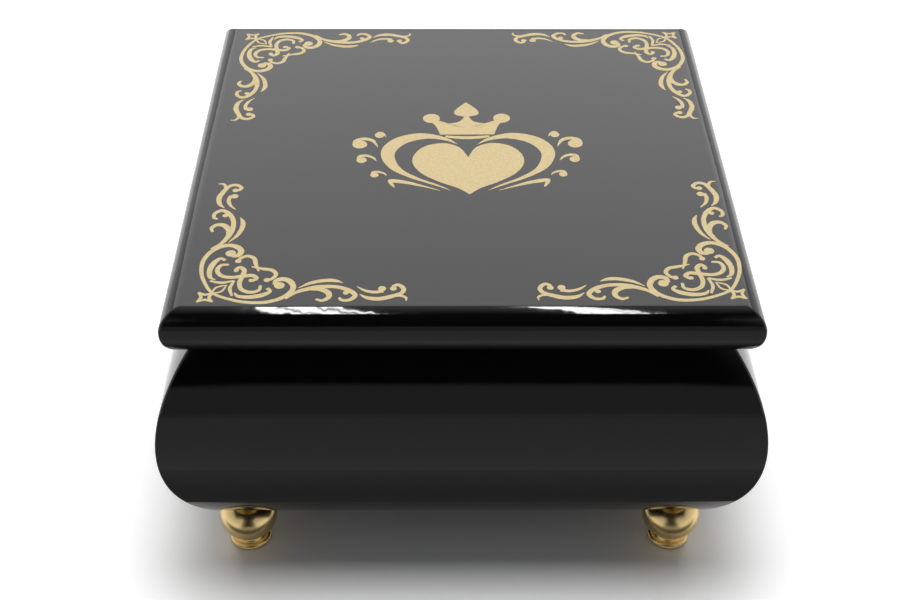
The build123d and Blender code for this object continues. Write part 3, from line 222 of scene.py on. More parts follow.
def soft_lamp(name, place, aim, size, power, diffuse=True, glossy=True, slant=0.0):
    """A rectangular lamp at a place, its face turned to an aim point and slanted in its own plane."""
    data = bpy.data.lights.new(name, "AREA")
    data.shape = "RECTANGLE"
    data.size, data.size_y = size
    data.energy = power
    lamp = bpy.data.objects.new(name, data)
    forward = np.array(aim, float) - np.array(place, float)
    forward /= np.linalg.norm(forward)
    side = np.cross(forward, (0, 0, 1) if abs(forward[2]) < 0.99 else (0, 1, 0))
    side /= np.linalg.norm(side)
    above = np.cross(side, forward)
    cos_slant, sin_slant = np.cos(slant), np.sin(slant)
    side, above = side * cos_slant + above * sin_slant, above * cos_slant - side * sin_slant
    turned = np.eye(4)
    turned[:3, :3] = np.stack([side, above, -forward], 1)
    turned[:3, 3] = place
    lamp.matrix_world = Matrix(turned.tolist())
    lamp.visible_camera = False
    lamp.visible_diffuse = diffuse
    lamp.visible_glossy = glossy
    scene.collection.objects.link(lamp)
    return lamp


soft_lamp("back_box", (0, 0.95, 0.80), (0, 0, 0.08), (1.5, 0.62), 3.7)
soft_lamp("top_box", (0, 0.10, 1.25), (0, 0, 0), (1.3, 0.9), 11.0, glossy=False)
tube_y = 0.16
tube_z = 1.02
tube_length = 0.80
tube_slant = radians(3.4)
tube_power = 70.0
tubes = [(-0.150, 0.020), (-0.118, 0.026), (-0.088, 0.012), (0.105, 0.014), (0.126, 0.024), (0.148, 0.010)]
lacquered = bpy.data.collections.new("lacquered")
for number, (tube_x, tube_width) in enumerate(tubes):
    tube = soft_lamp(
        f"tube_{number}",
        (tube_x, tube_y, tube_z),
        (tube_x, tube_y, 0),
        (tube_width, tube_length),
        tube_power * tube_width,
        diffuse=False,
        slant=tube_slant,
    )
    tube.light_linking.receiver_collection = lacquered

# Camera: in front of the box and above it, 300 mm from the table, on a 60 mm lens
camera_data = bpy.data.cameras.new("camera")
camera_data.sensor_width = 36.0
camera_data.lens = 59.97
camera_data.clip_start = 0.01
camera = bpy.data.objects.new("camera", camera_data)
camera_place = (-0.00539, -0.33350, 0.30334)
camera_heading = radians(-0.513)
camera_dip = radians(38.645)
camera_roll = radians(0.277)
camera_turn = (
    Matrix.Rotation(camera_heading, 4, "Z")
    @ Matrix.Rotation(pi / 2 - camera_dip, 4, "X")
    @ Matrix.Rotation(camera_roll, 4, "Z")
)
camera.matrix_world = Matrix.Translation(camera_place) @ camera_turn
scene.collection.objects.link(camera)
scene.camera = camera


# Lacquer: several coats of black gloss over wood, rubbed and polished, so it is nearly a mirror,
# with a faint unevenness from the buffing wheel and a little fine dust.
def new_group(name, takes, gives):
    """An empty shader node group, and the sockets of its two end nodes. takes holds each input's value, a
    number, a vector or a colour, and gives holds each output's kind."""
    group = bpy.data.node_groups.new(name, "ShaderNodeTree")
    for socket, value in takes.items():
        kind = {1: "Float", 3: "Vector", 4: "Color"}[np.size(value)]
        entry = group.interface.new_socket(socket, in_out="INPUT", socket_type="NodeSocket" + kind)
        entry.default_value = value
    for socket, kind in gives.items():
        group.interface.new_socket(socket, in_out="OUTPUT", socket_type="NodeSocket" + kind)
    given = group.nodes.new("NodeGroupInput").outputs
    result = group.nodes.new("NodeGroupOutput").inputs
    return group, given, result


def polish_group():
    """Node group: roughness that varies with buffing and dust, and a very low ripple for the bump."""
    group, given, result = new_group(
        "polish",
        {"Roughness": 0.05, "Buffing": 0.02, "Dust": 0.1, "Grain": 900.0},
        {"Roughness": "Float", "Ripple": "Float"},
    )
    place = add_node(group, "TexCoord").outputs["Object"]
    clouds = add_node(group, "TexNoise", Vector=place, Scale=38.0, Detail=4.0).outputs["Fac"]
    specks = add_node(group, "TexVoronoi", Vector=place, Scale=given["Grain"]).outputs
    speck_tone = add_node(group, "SeparateColor", _0=specks["Color"]).outputs[0]
    few_specks = math_step(group, "GREATER_THAN", speck_tone, 0.86)
    dust = math_step(group, "MULTIPLY", mapped(group, specks["Distance"], 0.10, 0.02), few_specks)
    dusted = math_step(group, "MULTIPLY", dust, given["Dust"])
    buffed = math_step(group, "MULTIPLY_ADD", clouds, given["Buffing"], given["Roughness"])
    group.links.new(math_step(group, "ADD", buffed, dusted), result["Roughness"])
    group.links.new(clouds, result["Ripple"])
    return group


def apply_group(material, group, **values):
    """Place a node group in a material with its own values, and return its outputs."""
    effect = material.node_tree.nodes.new("ShaderNodeGroup")
    effect.node_tree = group
    for socket, value in values.items():
        effect.inputs[socket].default_value = value
    return effect.outputs


def raise_surface(material, height, distance, strength=1.0):
    """Bump a material by a height pattern times a distance in metres, over any bump that it has."""
    tree = material.node_tree
    bump = add_node(tree, "Bump", Strength=strength, Distance=distance, Height=height)
    normal = tree.nodes["Principled BSDF"].inputs["Normal"]
    if normal.is_linked:
        tree.links.new(normal.links[0].from_socket, bump.inputs["Normal"])
    drive(material, Normal=bump.outputs["Normal"])


def polished(material, roughness, buffing, dust, ripple=0.0):
    """Drive a material's roughness, and if asked a very low bump, from the polish group."""
    effect = apply_group(material, polish, Roughness=roughness, Buffing=buffing, Dust=dust)
    drive(material, Roughness=effect["Roughness"])
    if ripple:
        raise_surface(material, effect["Ripple"], ripple)


polish = polish_group()
lacquer_black = (0.0035, 0.0035, 0.004)


# Case: four bulged boards and a base, mitred and glued, and lacquered as one piece. Outside it is one
# arc from the underside to the rim, with the corners' arrises rounded over; inside it is square.
def rounded_square(half, corner, steps_side=6, steps_corner=10):
    """Rings of a square with round corners: each point is the corner's centre plus the radius times a
    direction. half and corner may be arrays, one value for each ring. Returns x and y arrays."""
    turn = np.linspace(0, pi / 2, steps_corner)
    quarter = np.stack([np.cos(turn), np.sin(turn)], 1)
    side = np.linspace(0, 1, steps_side + 2)[1:-1, None]
    centres, directions = [], []
    for quadrant in range(4):
        angle = quadrant * pi / 2
        spin = np.array([[np.cos(angle), -np.sin(angle)], [np.sin(angle), np.cos(angle)]])
        here, there = spin @ (1, 1), spin @ (-1, 1)
        centres += [np.tile(here, (steps_corner, 1)), here + (there - here) * side]
        directions += [quarter @ spin.T, np.tile(spin @ (0, 1), (steps_side, 1))]
    centres, directions = np.concatenate(centres), np.concatenate(directions)
    half, corner = np.atleast_1d(half)[:, None, None], np.atleast_1d(corner)[:, None, None]
    ring = (half - corner) * centres + corner * directions
    return ring[..., 0], ring[..., 1]


def arc(centre, radius, start, end, steps):
    """Points along an arc, angles in degrees from the first axis, as rows of two coordinates."""
    turn = np.radians(np.linspace(start, end, steps))
    return np.stack([centre[0] + radius * np.cos(turn), centre[1] + radius * np.sin(turn)], 1)


case_lacquer = plain_material("case_lacquer", lacquer_black, 0.05, IOR=1.5)
polished(case_lacquer, 0.02, 0.03, 0.25)

# Inside the cavity the boards have one coat of satin black paint, left unpolished
inner_half = 0.05415
satin_added = 0.45
touching = 0.00001
case_tree = case_lacquer.node_tree
satin = math_step(case_tree, "LESS_THAN", distance_past(case_tree, (inner_half, inner_half, 1)), touching)
gloss = case_tree.nodes["Principled BSDF"].inputs["Roughness"].links[0].from_socket
drive(case_lacquer, Roughness=math_step(case_tree, "MULTIPLY_ADD", satin, satin_added, gloss))

case_base_z = 0.0158
case_rim_z = 0.0743
case_floor_z = 0.0238
bulge_radius = 0.044
bulge_centre = (0.0301, 0.0463)
cavity_half = 0.054
inner_arris_radius = 0.0004
arris_radius = 0.0005
key_hole = (-0.018, 0.033)
key_hole_radius = 0.0024
rim_ease = 0.0004
foot_ease = 0.0009
rim_turn = np.degrees(np.arcsin((case_rim_z - rim_ease - bulge_centre[1]) / bulge_radius))
foot_turn = np.degrees(np.arcsin((case_base_z + foot_ease - bulge_centre[1]) / bulge_radius))
side_curve = arc(bulge_centre, bulge_radius, foot_turn, rim_turn, 64)
low_corner, high_corner = side_curve[0], side_curve[-1]
outside = np.concatenate(
    [
        [(low_corner[0] - 0.0040, case_base_z), (low_corner[0] - 0.0016, case_base_z)],
        [(low_corner[0] - 0.0012, case_base_z), (low_corner[0] - 0.0006, case_base_z + 0.00022)],
        side_curve,
        [(high_corner[0] - 0.00022, case_rim_z - 0.00012), (high_corner[0] - 0.0006, case_rim_z)],
        [(high_corner[0] - 0.0012, case_rim_z)],
    ]
)
inside = np.array(
    [
        (cavity_half + 0.0008, case_rim_z),
        (cavity_half + 0.0003, case_rim_z),
        (cavity_half + 0.0001, case_rim_z - 0.0001),
        (cavity_half, case_rim_z - 0.0003),
        (cavity_half, case_rim_z - 0.0012),
        (cavity_half, case_floor_z),
    ]
)
ring_x, ring_y = rounded_square(
    np.concatenate([outside[:, 0], inside[:, 0]]),
    np.concatenate([np.full(len(outside), arris_radius), np.full(len(inside), inner_arris_radius)]),
)
ring_z = np.concatenate([outside[:, 1], inside[:, 1]])[:, None] * np.ones_like(ring_x)
case_points = np.stack([ring_x, ring_y, ring_z], -1)
toward = np.arctan2(ring_y[0] - key_hole[1], ring_x[0] - key_hole[0])
hole_x = key_hole[0] + key_hole_radius * np.cos(toward)
hole_y = key_hole[1] + key_hole_radius * np.sin(toward)
low_hole = np.stack([hole_x, hole_y, np.full_like(hole_x, case_base_z)], -1)
high_hole = np.stack([hole_x, hole_y, np.full_like(hole_x, case_floor_z)], -1)
case_points = np.concatenate([low_hole[None], case_points, high_hole[None]])
case_body = add_piece("case_body", surface_mesh("case_body", case_points, True, True), case_lacquer)


def block_mesh(name, low, high):
    """A closed box between two corners."""
    low, high = np.array(low, float), np.array(high, float)
    square = np.array([(0, 0), (1, 0), (1, 1), (0, 1)], float)
    rings = np.array([[(*corner, level) for corner in square] for level in (0.0, 1.0)])
    mesh = bpy.data.meshes.new(name)
    points = (low + rings * (high - low)).reshape(-1, 3)
    sides = [(i, (i + 1) % 4, (i + 1) % 4 + 4, i + 4) for i in range(4)]
    mesh.from_pydata(points.tolist(), [], sides + [(3, 2, 1, 0), (4, 5, 6, 7)])
    return mesh


def lathe_mesh(name, profile, centre, axis="z", steps=48):
    """A profile of (radius, height) rows turned about a centre, its ends closed by fans of triangles."""
    turn = np.linspace(0, 2 * pi, steps, endpoint=False)
    profile = np.array(profile, float)
    ring_a = profile[:, :1] * np.cos(turn)
    ring_b = profile[:, :1] * np.sin(turn)
    height = profile[:, 1:] * np.ones_like(ring_a)
    order = {
        "x": (height, ring_a, ring_b),
        "y": (ring_b, height, ring_a),
        "z": (ring_a, ring_b, height),
    }[axis]
    points = np.stack(order, -1) + np.array(centre)
    return surface_mesh(name, points, wrap_across=True)


def merge_doubles(mesh, distance=1e-6):
    """Join points that fall together, such as a lathe's poles, and turn every face outwards."""
    shape = bmesh.new()
    shape.from_mesh(mesh)
    bmesh.ops.remove_doubles(shape, verts=shape.verts, dist=distance)
    bmesh.ops.dissolve_degenerate(shape, edges=shape.edges, dist=distance)
    bmesh.ops.recalc_face_normals(shape, faces=shape.faces)
    shape.to_mesh(mesh)
    shape.free()
    return mesh


# Lid: a moulded board, lacquered like the case, with a rounded top edge and a cove-like turn below it.
# Underneath it is recessed for its pad, and mortised with the case's rim for two brass butt hinges.
lid_lacquer = plain_material("lid_lacquer", lacquer_black, 0.05, IOR=1.5)
polished(lid_lacquer, 0.03, 0.05, 0.30, ripple=0.0000012)
lid_top_z = 0.0873
lid_half = 0.070

# Near the lid's edge the lacquer has pooled in low waves, which bend the reflection of a lamp
pooled_margin = 0.006
pooled_depth = 0.00003
lid_tree = lid_lacquer.node_tree
lid_place = add_node(lid_tree, "TexCoord").outputs["Object"]
wave_place = math_step(lid_tree, "MULTIPLY", lid_place, (1, 1, 2), kind="VectorMath")
waves = add_node(lid_tree, "TexNoise", Vector=wave_place, Scale=260.0, Detail=1.0).outputs["Fac"]
flat_half = lid_half - pooled_margin
near_edge = mapped(lid_tree, distance_past(lid_tree, (flat_half, flat_half, 1)), 0.0, 0.0015)
raise_surface(lid_lacquer, math_step(lid_tree, "MULTIPLY", waves, near_edge), pooled_depth)

top_round = 0.005
low_round = 0.008
low_round_z = 0.0817
recess_half = 0.0515
recess_z = case_rim_z + 0.003
recess_ease = 0.0003
lid_outline = np.concatenate(
    [
        [(0.0, recess_z), (0.030, recess_z), (recess_half - recess_ease, recess_z)],
        [(recess_half, recess_z - recess_ease), (recess_half, case_rim_z + recess_ease)],
        [(recess_half + recess_ease, case_rim_z), (0.058, case_rim_z), (0.0640, case_rim_z)],
        [(0.0646, case_rim_z), (0.0649, case_rim_z + 0.00008)],
        arc((lid_half - low_round, low_round_z), low_round, -67.2, 0, 26),
        arc((lid_half - top_round, lid_top_z - top_round), top_round, 0, 90, 22),
        [(0.0647, lid_top_z), (0.0640, lid_top_z), (0.060, lid_top_z), (0.030, lid_top_z), (0.0, lid_top_z)],
    ]
)
lid_arris = 0.0004
nose_arris = 0.0003
nose_reach = 0.0006
lid_corner = lid_arris + nose_arris * np.exp(-(lid_half - lid_outline[:, 0]) / nose_reach)
lid_corner = np.minimum(lid_corner, lid_outline[:, 0])
lid_x, lid_y = rounded_square(lid_outline[:, 0], lid_corner)
lid_z = lid_outline[:, 1:] * np.ones_like(lid_x)
lid_shell = add_piece(
    "lid_shell",
    merge_doubles(surface_mesh("lid_shell", np.stack([lid_x, lid_y, lid_z], -1), wrap_across=True)),
    lid_lacquer,
)

hinge_y = 0.06654
hinge_z = case_rim_z
hinge_offset = 0.037
leaf_front_y = 0.05554
leaf_half_width = 0.0091
mortise_depth = 0.00095
knuckle_clear = 0.0020


def carve(piece, cutters):
    """Cut each closed mesh out of a piece with an exact Boolean, keep the result and shade it again."""
    for number, cutter_mesh in enumerate(cutters):
        cutter = bpy.data.objects.new("cutter", cutter_mesh)
        scene.collection.objects.link(cutter)
        cut = piece.modifiers.new(f"cut_{number}", "BOOLEAN")
        cut.operation = "DIFFERENCE"
        cut.solver = "EXACT"
        cut.object = cutter
        bpy.context.view_layer.update()
        shaped = bpy.data.meshes.new_from_object(piece.evaluated_get(bpy.context.evaluated_depsgraph_get()))
        piece.modifiers.clear()
        piece.data = shaped
        bpy.data.objects.remove(cutter)
    piece.data.set_sharp_from_angle(angle=radians(32))
    return piece


cut_past = 0.001
rim_cuts, lid_cuts = [], []
for side in (-1, 1):
    left, right = side * hinge_offset - leaf_half_width, side * hinge_offset + leaf_half_width
    front_left, back_right = (left, leaf_front_y), (right, hinge_y)
    rim_cuts.append(
        block_mesh("rim_mortise", (*front_left, hinge_z - mortise_depth), (*back_right, hinge_z + cut_past))
    )
    lid_cuts.append(
        block_mesh("lid_mortise", (*front_left, hinge_z - cut_past), (*back_right, hinge_z + mortise_depth))
    )
    groove = [(0, left), (knuckle_clear, left), (knuckle_clear, right), (0, right)]
    lid_cuts.append(merge_doubles(lathe_mesh("groove", groove, (0, hinge_y, hinge_z), "x", 40)))
carve(case_body, rim_cuts)
carve(lid_shell, lid_cuts)
lacquered.objects.link(case_body)
lacquered.objects.link(lid_shell)
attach(case_body, "case")
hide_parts("base_board", "wall_front", "wall_right", "wall_back", "wall_left")
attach(lid_shell, "lid")
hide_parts("lid_board")


# Print: pale gold, silk-screened on the cured lacquer, about a fiftieth of a millimetre thick. A crowned
# heart between two crescents in the middle, and scroll work in each corner, all common old ornament.
def tinted(tree, factor, low, high, first, second):
    """A colour that goes from the first to the second as a factor goes from low to high."""
    ramp = add_node(tree, "ValToRGB", Fac=factor)
    for stop, place, colour in zip(ramp.color_ramp.elements, (low, high), (first, second)):
        stop.position = place
        stop.color = (*colour, 1)
    return ramp.outputs["Color"]


print_gold = plain_material("print_gold", (0.72, 0.56, 0.29), 0.5, 0.15)
gold_tree = print_gold.node_tree
gold_place = add_node(gold_tree, "TexCoord").outputs["Object"]
gold_grain = add_node(gold_tree, "TexNoise", Vector=gold_place, Scale=1400.0, Detail=3.0).outputs["Fac"]
gold_tint = tinted(gold_tree, gold_grain, 0.30, 0.70, (0.64, 0.50, 0.25), (0.74, 0.60, 0.32))
drive(print_gold, Base_Color=gold_tint)
raise_surface(print_gold, gold_grain, 0.00001, strength=0.5)

print_thickness = 0.00002
print_shift = np.array([0.00167, 0.0])
print_turn = radians(0.47)
print_axis_x = 0.45


def flowing(points, steps=9):
    """Smooth rows through the given rows: a cubic between each two, whose slope at a row is half the
    step from the row before it to the row after it."""
    points = np.array(points, float)
    slope = np.gradient(points, axis=0)
    t = np.linspace(0, 1, steps, endpoint=False)[None, :, None]
    start, end = points[:-1, None], points[1:, None]
    leave, arrive = slope[:-1, None], slope[1:, None]
    rows = (
        (2 * t**3 - 3 * t**2 + 1) * start
        + (t**3 - 2 * t**2 + t) * leave
        + (3 * t**2 - 2 * t**3) * end
        + (t**3 - t**2) * arrive
    )
    return np.vstack([rows.reshape(-1, points.shape[1]), points[-1:]])


def stroke(rows):
    """A pen stroke along (x, y, width) rows: two edges, half the width to each side of the path."""
    path = flowing(rows)
    along = np.gradient(path[:, :2], axis=0)
    along /= np.linalg.norm(along, axis=1, keepdims=True)
    across = np.stack([-along[:, 1], along[:, 0]], 1) * path[:, 2:] / 2
    return np.stack([path[:, :2] - across, path[:, :2] + across])


def filled(outline, centre):
    """A closed outline filled from a point inside it."""
    outline = np.array(outline, float)
    return np.stack([np.tile(centre, (len(outline), 1)), outline])


def dot(x, y, radius):
    """A round dot."""
    turn = np.linspace(0, 2 * pi, 25)
    return filled(np.stack([x + radius * np.cos(turn), y + radius * np.sin(turn)], 1), (x, y))


def across_axis(shape, axis=0.0):
    """A shape mirrored left to right about an upright axis."""
    return shape * (-1, 1) + (2 * axis, 0)


def swapped(shape):
    """A shape mirrored about the corner's diagonal."""
    return shape[..., ::-1]


corner_diagonal = [
    stroke(
        [(-57.2, -46.1, 0.9), (-55.6, -45.7, 1.3), (-55.1, -43.9, 1.5), (-56.4, -42.2, 1.5)]
        + [(-58.9, -41.7, 1.3), (-61.8, -43.6, 1.2), (-63.6, -47.2, 1.1), (-63.8, -51.2, 1.0)]
        + [(-62.8, -55.4, 0.9), (-60.2, -60.2, 0.8), (-55.4, -62.8, 0.9), (-51.2, -63.8, 1.0)]
        + [(-47.2, -63.6, 1.1), (-43.6, -61.8, 1.2), (-41.7, -58.9, 1.3), (-42.2, -56.4, 1.5)]
        + [(-43.9, -55.1, 1.5), (-45.7, -55.6, 1.3), (-46.1, -57.2, 0.9)]
    )
]
corner_half = [
    dot(-57.5, -44.9, 1.25),
    stroke(
        [(-58.5, -47.7, 0.9), (-59.7, -46.9, 0.9), (-61.1, -48.7, 1.4), (-61.8, -51.6, 1.3)]
        + [(-61.4, -54.2, 1.0), (-60.1, -55.2, 0.3)]
    ),
    stroke(
        [(-57.4, -49.3, 0.7), (-59.3, -49.6, 0.9), (-60.0, -51.6, 1.1), (-58.9, -53.6, 1.1)]
        + [(-56.6, -54.3, 1.1), (-53.9, -53.9, 1.2), (-51.7, -53.6, 1.2), (-50.5, -54.7, 1.1)]
        + [(-51.6, -55.9, 0.8)]
    ),
    dot(-51.7, -55.5, 0.6),
    stroke(
        [(-55.5, -48.2, 0.9), (-54.9, -46.8, 0.9), (-53.3, -46.0, 1.0), (-51.7, -47.0, 1.1)]
        + [(-51.1, -49.2, 1.0), (-50.2, -52.0, 0.4)]
    ),
    dot(-55.4, -48.0, 0.75),
    stroke([(-61.3, -55.6, 0.6), (-58.5, -56.4, 0.8), (-55.6, -55.6, 0.6)]),
    stroke([(-55.6, -61.3, 0.6), (-56.3, -58.5, 0.8), (-55.6, -55.6, 0.6)]),
    stroke([(-60.3, -60.3, 0.3), (-59.6, -58.2, 0.6), (-57.2, -57.2, 0.3)]),
    stroke([(-63.5, -59.9, 0.5), (-61.8, -60.8, 0.8), (-60.0, -60.0, 0.5)]),
    stroke([(-63.5, -63.5, 0.5), (-62.7, -61.7, 0.8), (-63.5, -59.9, 0.5)]),
    stroke(
        [(-43.1, -62.5, 0.4), (-40.8, -60.1, 1.0), (-37.5, -58.6, 1.4), (-34.4, -58.0, 1.3)]
        + [(-31.4, -58.2, 1.2), (-28.7, -59.4, 1.3), (-27.1, -61.3, 1.2), (-28.3, -63.0, 1.0)]
        + [(-30.1, -63.1, 0.9), (-30.8, -62.1, 0.6)]
    ),
    dot(-29.3, -60.4, 0.7),
    stroke(
        [(-38.2, -59.1, 0.5), (-35.5, -59.0, 1.3), (-33.5, -60.2, 1.5), (-33.2, -62.0, 1.2)]
        + [(-34.6, -63.2, 1.0), (-36.2, -62.7, 0.6)]
    ),
    stroke(
        [(-40.5, -58.5, 0.2), (-37.6, -56.6, 1.0), (-34.3, -55.7, 1.25), (-32.0, -55.8, 1.1)]
        + [(-30.1, -56.6, 0.2)]
    ),
    stroke([(-26.8, -58.0, 0.2), (-25.0, -59.5, 0.8), (-22.7, -60.2, 1.0), (-20.6, -59.8, 1.1)]),
    dot(-20.9, -58.9, 0.95),
    stroke(
        [(-26.1, -60.9, 0.2), (-24.3, -62.3, 1.1), (-21.5, -62.7, 1.4), (-18.6, -61.8, 1.3)]
        + [(-16.4, -60.6, 1.1), (-15.9, -58.9, 1.1), (-17.2, -57.5, 1.0), (-18.5, -58.2, 0.9)]
    ),
    dot(-18.3, -58.9, 0.8),
    stroke([(-19.4, -61.9, 0.6), (-16.8, -61.6, 0.8), (-15.4, -62.3, 0.7), (-15.3, -63.6, 0.2)]),
]
corner_shapes = corner_diagonal + corner_half + [swapped(shape) for shape in corner_half]
print_shapes = []
for flip_x in (1, -1):
    for flip_y in (1, -1):
        print_shapes += [shape * (flip_x, flip_y) for shape in corner_shapes]

heart_right = flowing(
    [(0.45, -3.4), (2.3, 0.8), (5.0, 2.9), (8.2, 3.3), (12.0, 1.7), (14.6, -2.2), (14.9, -6.4)]
    + [(12.6, -11.0), (8.0, -14.9), (3.4, -17.7), (0.45, -20.5)]
)
heart_outline = np.concatenate([heart_right, across_axis(heart_right, print_axis_x)[::-1]])
crown_right = flowing([(0.95, 16.7), (2.4, 14.2), (5.2, 13.2), (7.4, 13.9), (8.6, 15.0)])
crown_side = flowing([(10.6, 14.0), (9.3, 12.8), (8.3, 10.1), (7.7, 7.6)])
crown_half = np.concatenate([[(print_axis_x, 17.0)], crown_right, crown_side, [(print_axis_x, 7.6)]])
crown_outline = np.concatenate([crown_half, across_axis(crown_half, print_axis_x)[::-1]])
spade_right = flowing([(0.45, 16.2), (1.5, 16.8), (3.4, 17.6), (3.7, 19.4), (2.3, 21.8), (0.45, 24.1)])
spade_outline = np.concatenate([spade_right, across_axis(spade_right, print_axis_x)[::-1]])
crescent_outer = flowing(
    [(2.8, 2.6), (6.2, 6.1), (12.4, 8.3), (18.6, 6.6), (22.4, 2.5), (23.3, -2.6), (21.0, -8.4)]
    + [(15.9, -12.8), (9.6, -16.3), (4.9, -19.0)]
)
crescent_inner = flowing(
    [(2.8, 2.6), (6.4, 4.7), (11.2, 5.6), (16.4, 3.6), (19.3, -0.2), (19.6, -4.0), (17.7, -9.0)]
    + [(13.4, -13.0), (8.4, -16.2), (4.9, -19.0)]
)
emblem_half = [
    np.stack([crescent_outer, crescent_inner]),
    stroke(
        [(8.0, -18.8, 0.15), (12.0, -16.9, 0.7), (16.2, -15.2, 1.3), (20.0, -14.3, 1.6)]
        + [(21.2, -14.6, 1.0)]
    ),
    stroke([(20.9, -14.5, 0.9), (20.2, -16.0, 0.9), (19.6, -17.3, 0.3)]),
    dot(10.0, 15.8, 2.3),
    dot(23.9, 7.3, 1.2),
    stroke([(24.9, 7.2, 0.9), (24.0, 8.6, 1.0), (22.9, 8.1, 0.8), (22.2, 6.6, 0.2)]),
    dot(29.0, 2.9, 1.95),
    stroke([(30.5, 2.6, 1.0), (30.1, 4.7, 1.2), (27.9, 5.6, 1.4), (25.6, 4.6, 1.1), (24.2, 1.6, 0.2)]),
    dot(28.3, -4.6, 1.35),
    stroke(
        [(29.2, -4.3, 0.9), (28.8, -2.8, 1.0), (27.1, -2.5, 1.1), (25.4, -3.5, 0.8), (24.4, -5.1, 0.2)]
    ),
    dot(24.8, -11.6, 1.1),
    stroke(
        [(25.4, -11.0, 0.8), (25.0, -10.2, 0.8), (23.7, -10.2, 0.9), (22.3, -10.9, 0.6)]
        + [(21.7, -11.9, 0.2)]
    ),
]
emblem = [
    filled(heart_outline, (print_axis_x, -8.0)),
    filled(crown_outline, (print_axis_x, 10.5)),
    filled(spade_outline, (print_axis_x, 19.0)),
    stroke([(-5.4, 6.7, 0.9), (-2.5, 6.2, 1.3), (0.45, 6.0, 1.4), (3.4, 6.2, 1.3), (6.3, 6.7, 0.9)]),
]
print_shapes += emblem + emblem_half + [across_axis(shape, print_axis_x) for shape in emblem_half]


def print_mesh(shapes, lift_step=0.0000004):
    """One mesh of all the flat shapes, in metres on the lid's top. Each lies a hair above the one before
    it, so that shapes that cross don't share a plane, and each is turned to face upwards."""
    points, faces, start = [], [], 0
    cos_turn, sin_turn = np.cos(print_turn), np.sin(print_turn)
    spin = np.array([[cos_turn, -sin_turn], [sin_turn, cos_turn]])
    for number, shape in enumerate(shapes):
        flat = (shape * 0.001) @ spin.T + print_shift
        rows, columns = flat.shape[:2]
        height = np.full((rows, columns, 1), lid_top_z + print_thickness + lift_step * (number % 40))
        index = start + np.arange(rows * columns).reshape(rows, columns)
        corners = [index[:-1, :-1], index[1:, :-1], index[1:, 1:], index[:-1, 1:]]
        quads = np.stack(corners, -1).reshape(-1, 4)
        first, second, third = (flat.reshape(-1, 2)[quads[:, i] - start] for i in (0, 1, 2))
        area = np.cross(second - first, third - second).sum()
        faces.append(quads if area > 0 else quads[:, ::-1])
        points.append(np.concatenate([flat, height], -1).reshape(-1, 3))
        start += rows * columns
    mesh = bpy.data.meshes.new("lid_print")
    mesh.from_pydata(np.concatenate(points).tolist(), [], np.concatenate(faces).tolist())
    shape = bmesh.new()
    shape.from_mesh(mesh)
    bmesh.ops.remove_doubles(shape, verts=shape.verts, dist=1e-7)
    shape.to_mesh(mesh)
    shape.free()
    return mesh


lid_print = add_piece("lid_print", print_mesh(print_shapes), print_gold)
lid_print.data.polygons.foreach_set("use_smooth", np.zeros(len(lid_print.data.polygons), dtype=bool))
print_body = lid_print.modifiers.new("thickness", "SOLIDIFY")
print_body.thickness = print_thickness
print_body.offset = -1.0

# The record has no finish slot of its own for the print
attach(lid_print, "lid")

# Feet: turned and polished brass, each screwed to the base by a stud. From the table up: a ring, a waist,
# a full round bulb, a neck and a flange against the base.
foot_brass = plain_material("foot_brass", (0.76, 0.57, 0.27), 0.16, 1.0)
polished(foot_brass, 0.21, 0.12, 0.1)
foot_place = 0.0563
ring_radius = 0.0056
ring_round = 0.0009
waist_radius = 0.0036
bulb_radius = 0.0076
bulb_z = 0.0092
neck_radius = 0.0033
flange_radius = 0.0046
flange_round = 0.0007


def bulb_side(start, end, steps, height):
    """The bulb's side: its radius times a turn's cosine to the power 0.9, and a height times its sine."""
    turn = np.linspace(start, end, steps)
    return np.stack([bulb_radius * np.cos(turn) ** 0.9, bulb_z + height * np.sin(turn)], 1)


foot_profile = np.concatenate(
    [
        [(0.0, 0.0), (ring_radius - ring_round, 0.0)],
        arc((ring_radius - ring_round, ring_round), ring_round, -90, 90, 13),
        arc((waist_radius + ring_round, 0.0026), ring_round, 260, 180, 6),
        bulb_side(-1.02, 0, 22, 0.0067),
        bulb_side(0, 1.05, 20, 0.0049)[1:],
        [(neck_radius, 0.0137), (neck_radius + 0.0001, 0.0142)],
        arc((flange_radius - flange_round, 0.0149), flange_round, -90, 90, 9),
        [(0.0, case_base_z)],
    ]
)
for node, x_side, y_side in (
    ("foot_front_left", -1, -1),
    ("foot_front_right", 1, -1),
    ("foot_back_left", -1, 1),
    ("foot_back_right", 1, 1),
):
    foot_centre = (x_side * foot_place, y_side * foot_place, 0)
    foot_mesh = merge_doubles(lathe_mesh(node + "_turned", foot_profile, foot_centre, steps=72))
    foot = add_piece(node + "_turned", foot_mesh, foot_brass, sharp=60)
    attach(foot, "case")
    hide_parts(node)


# Metals: every metal piece keeps its CAD shape and gets a worked surface, with the fine lines or the
# cast grain that its making leaves, and a slow change of tone where fingers and air have dulled it.
def mixed(tree, factor, first, second):
    """A colour between two others."""
    blend = tree.nodes.new("ShaderNodeMix")
    blend.data_type = "RGBA"
    for place, source in ((0, factor), (6, first), (7, second)):
        tree.links.new(source, blend.inputs[place])
    return blend.outputs[2]


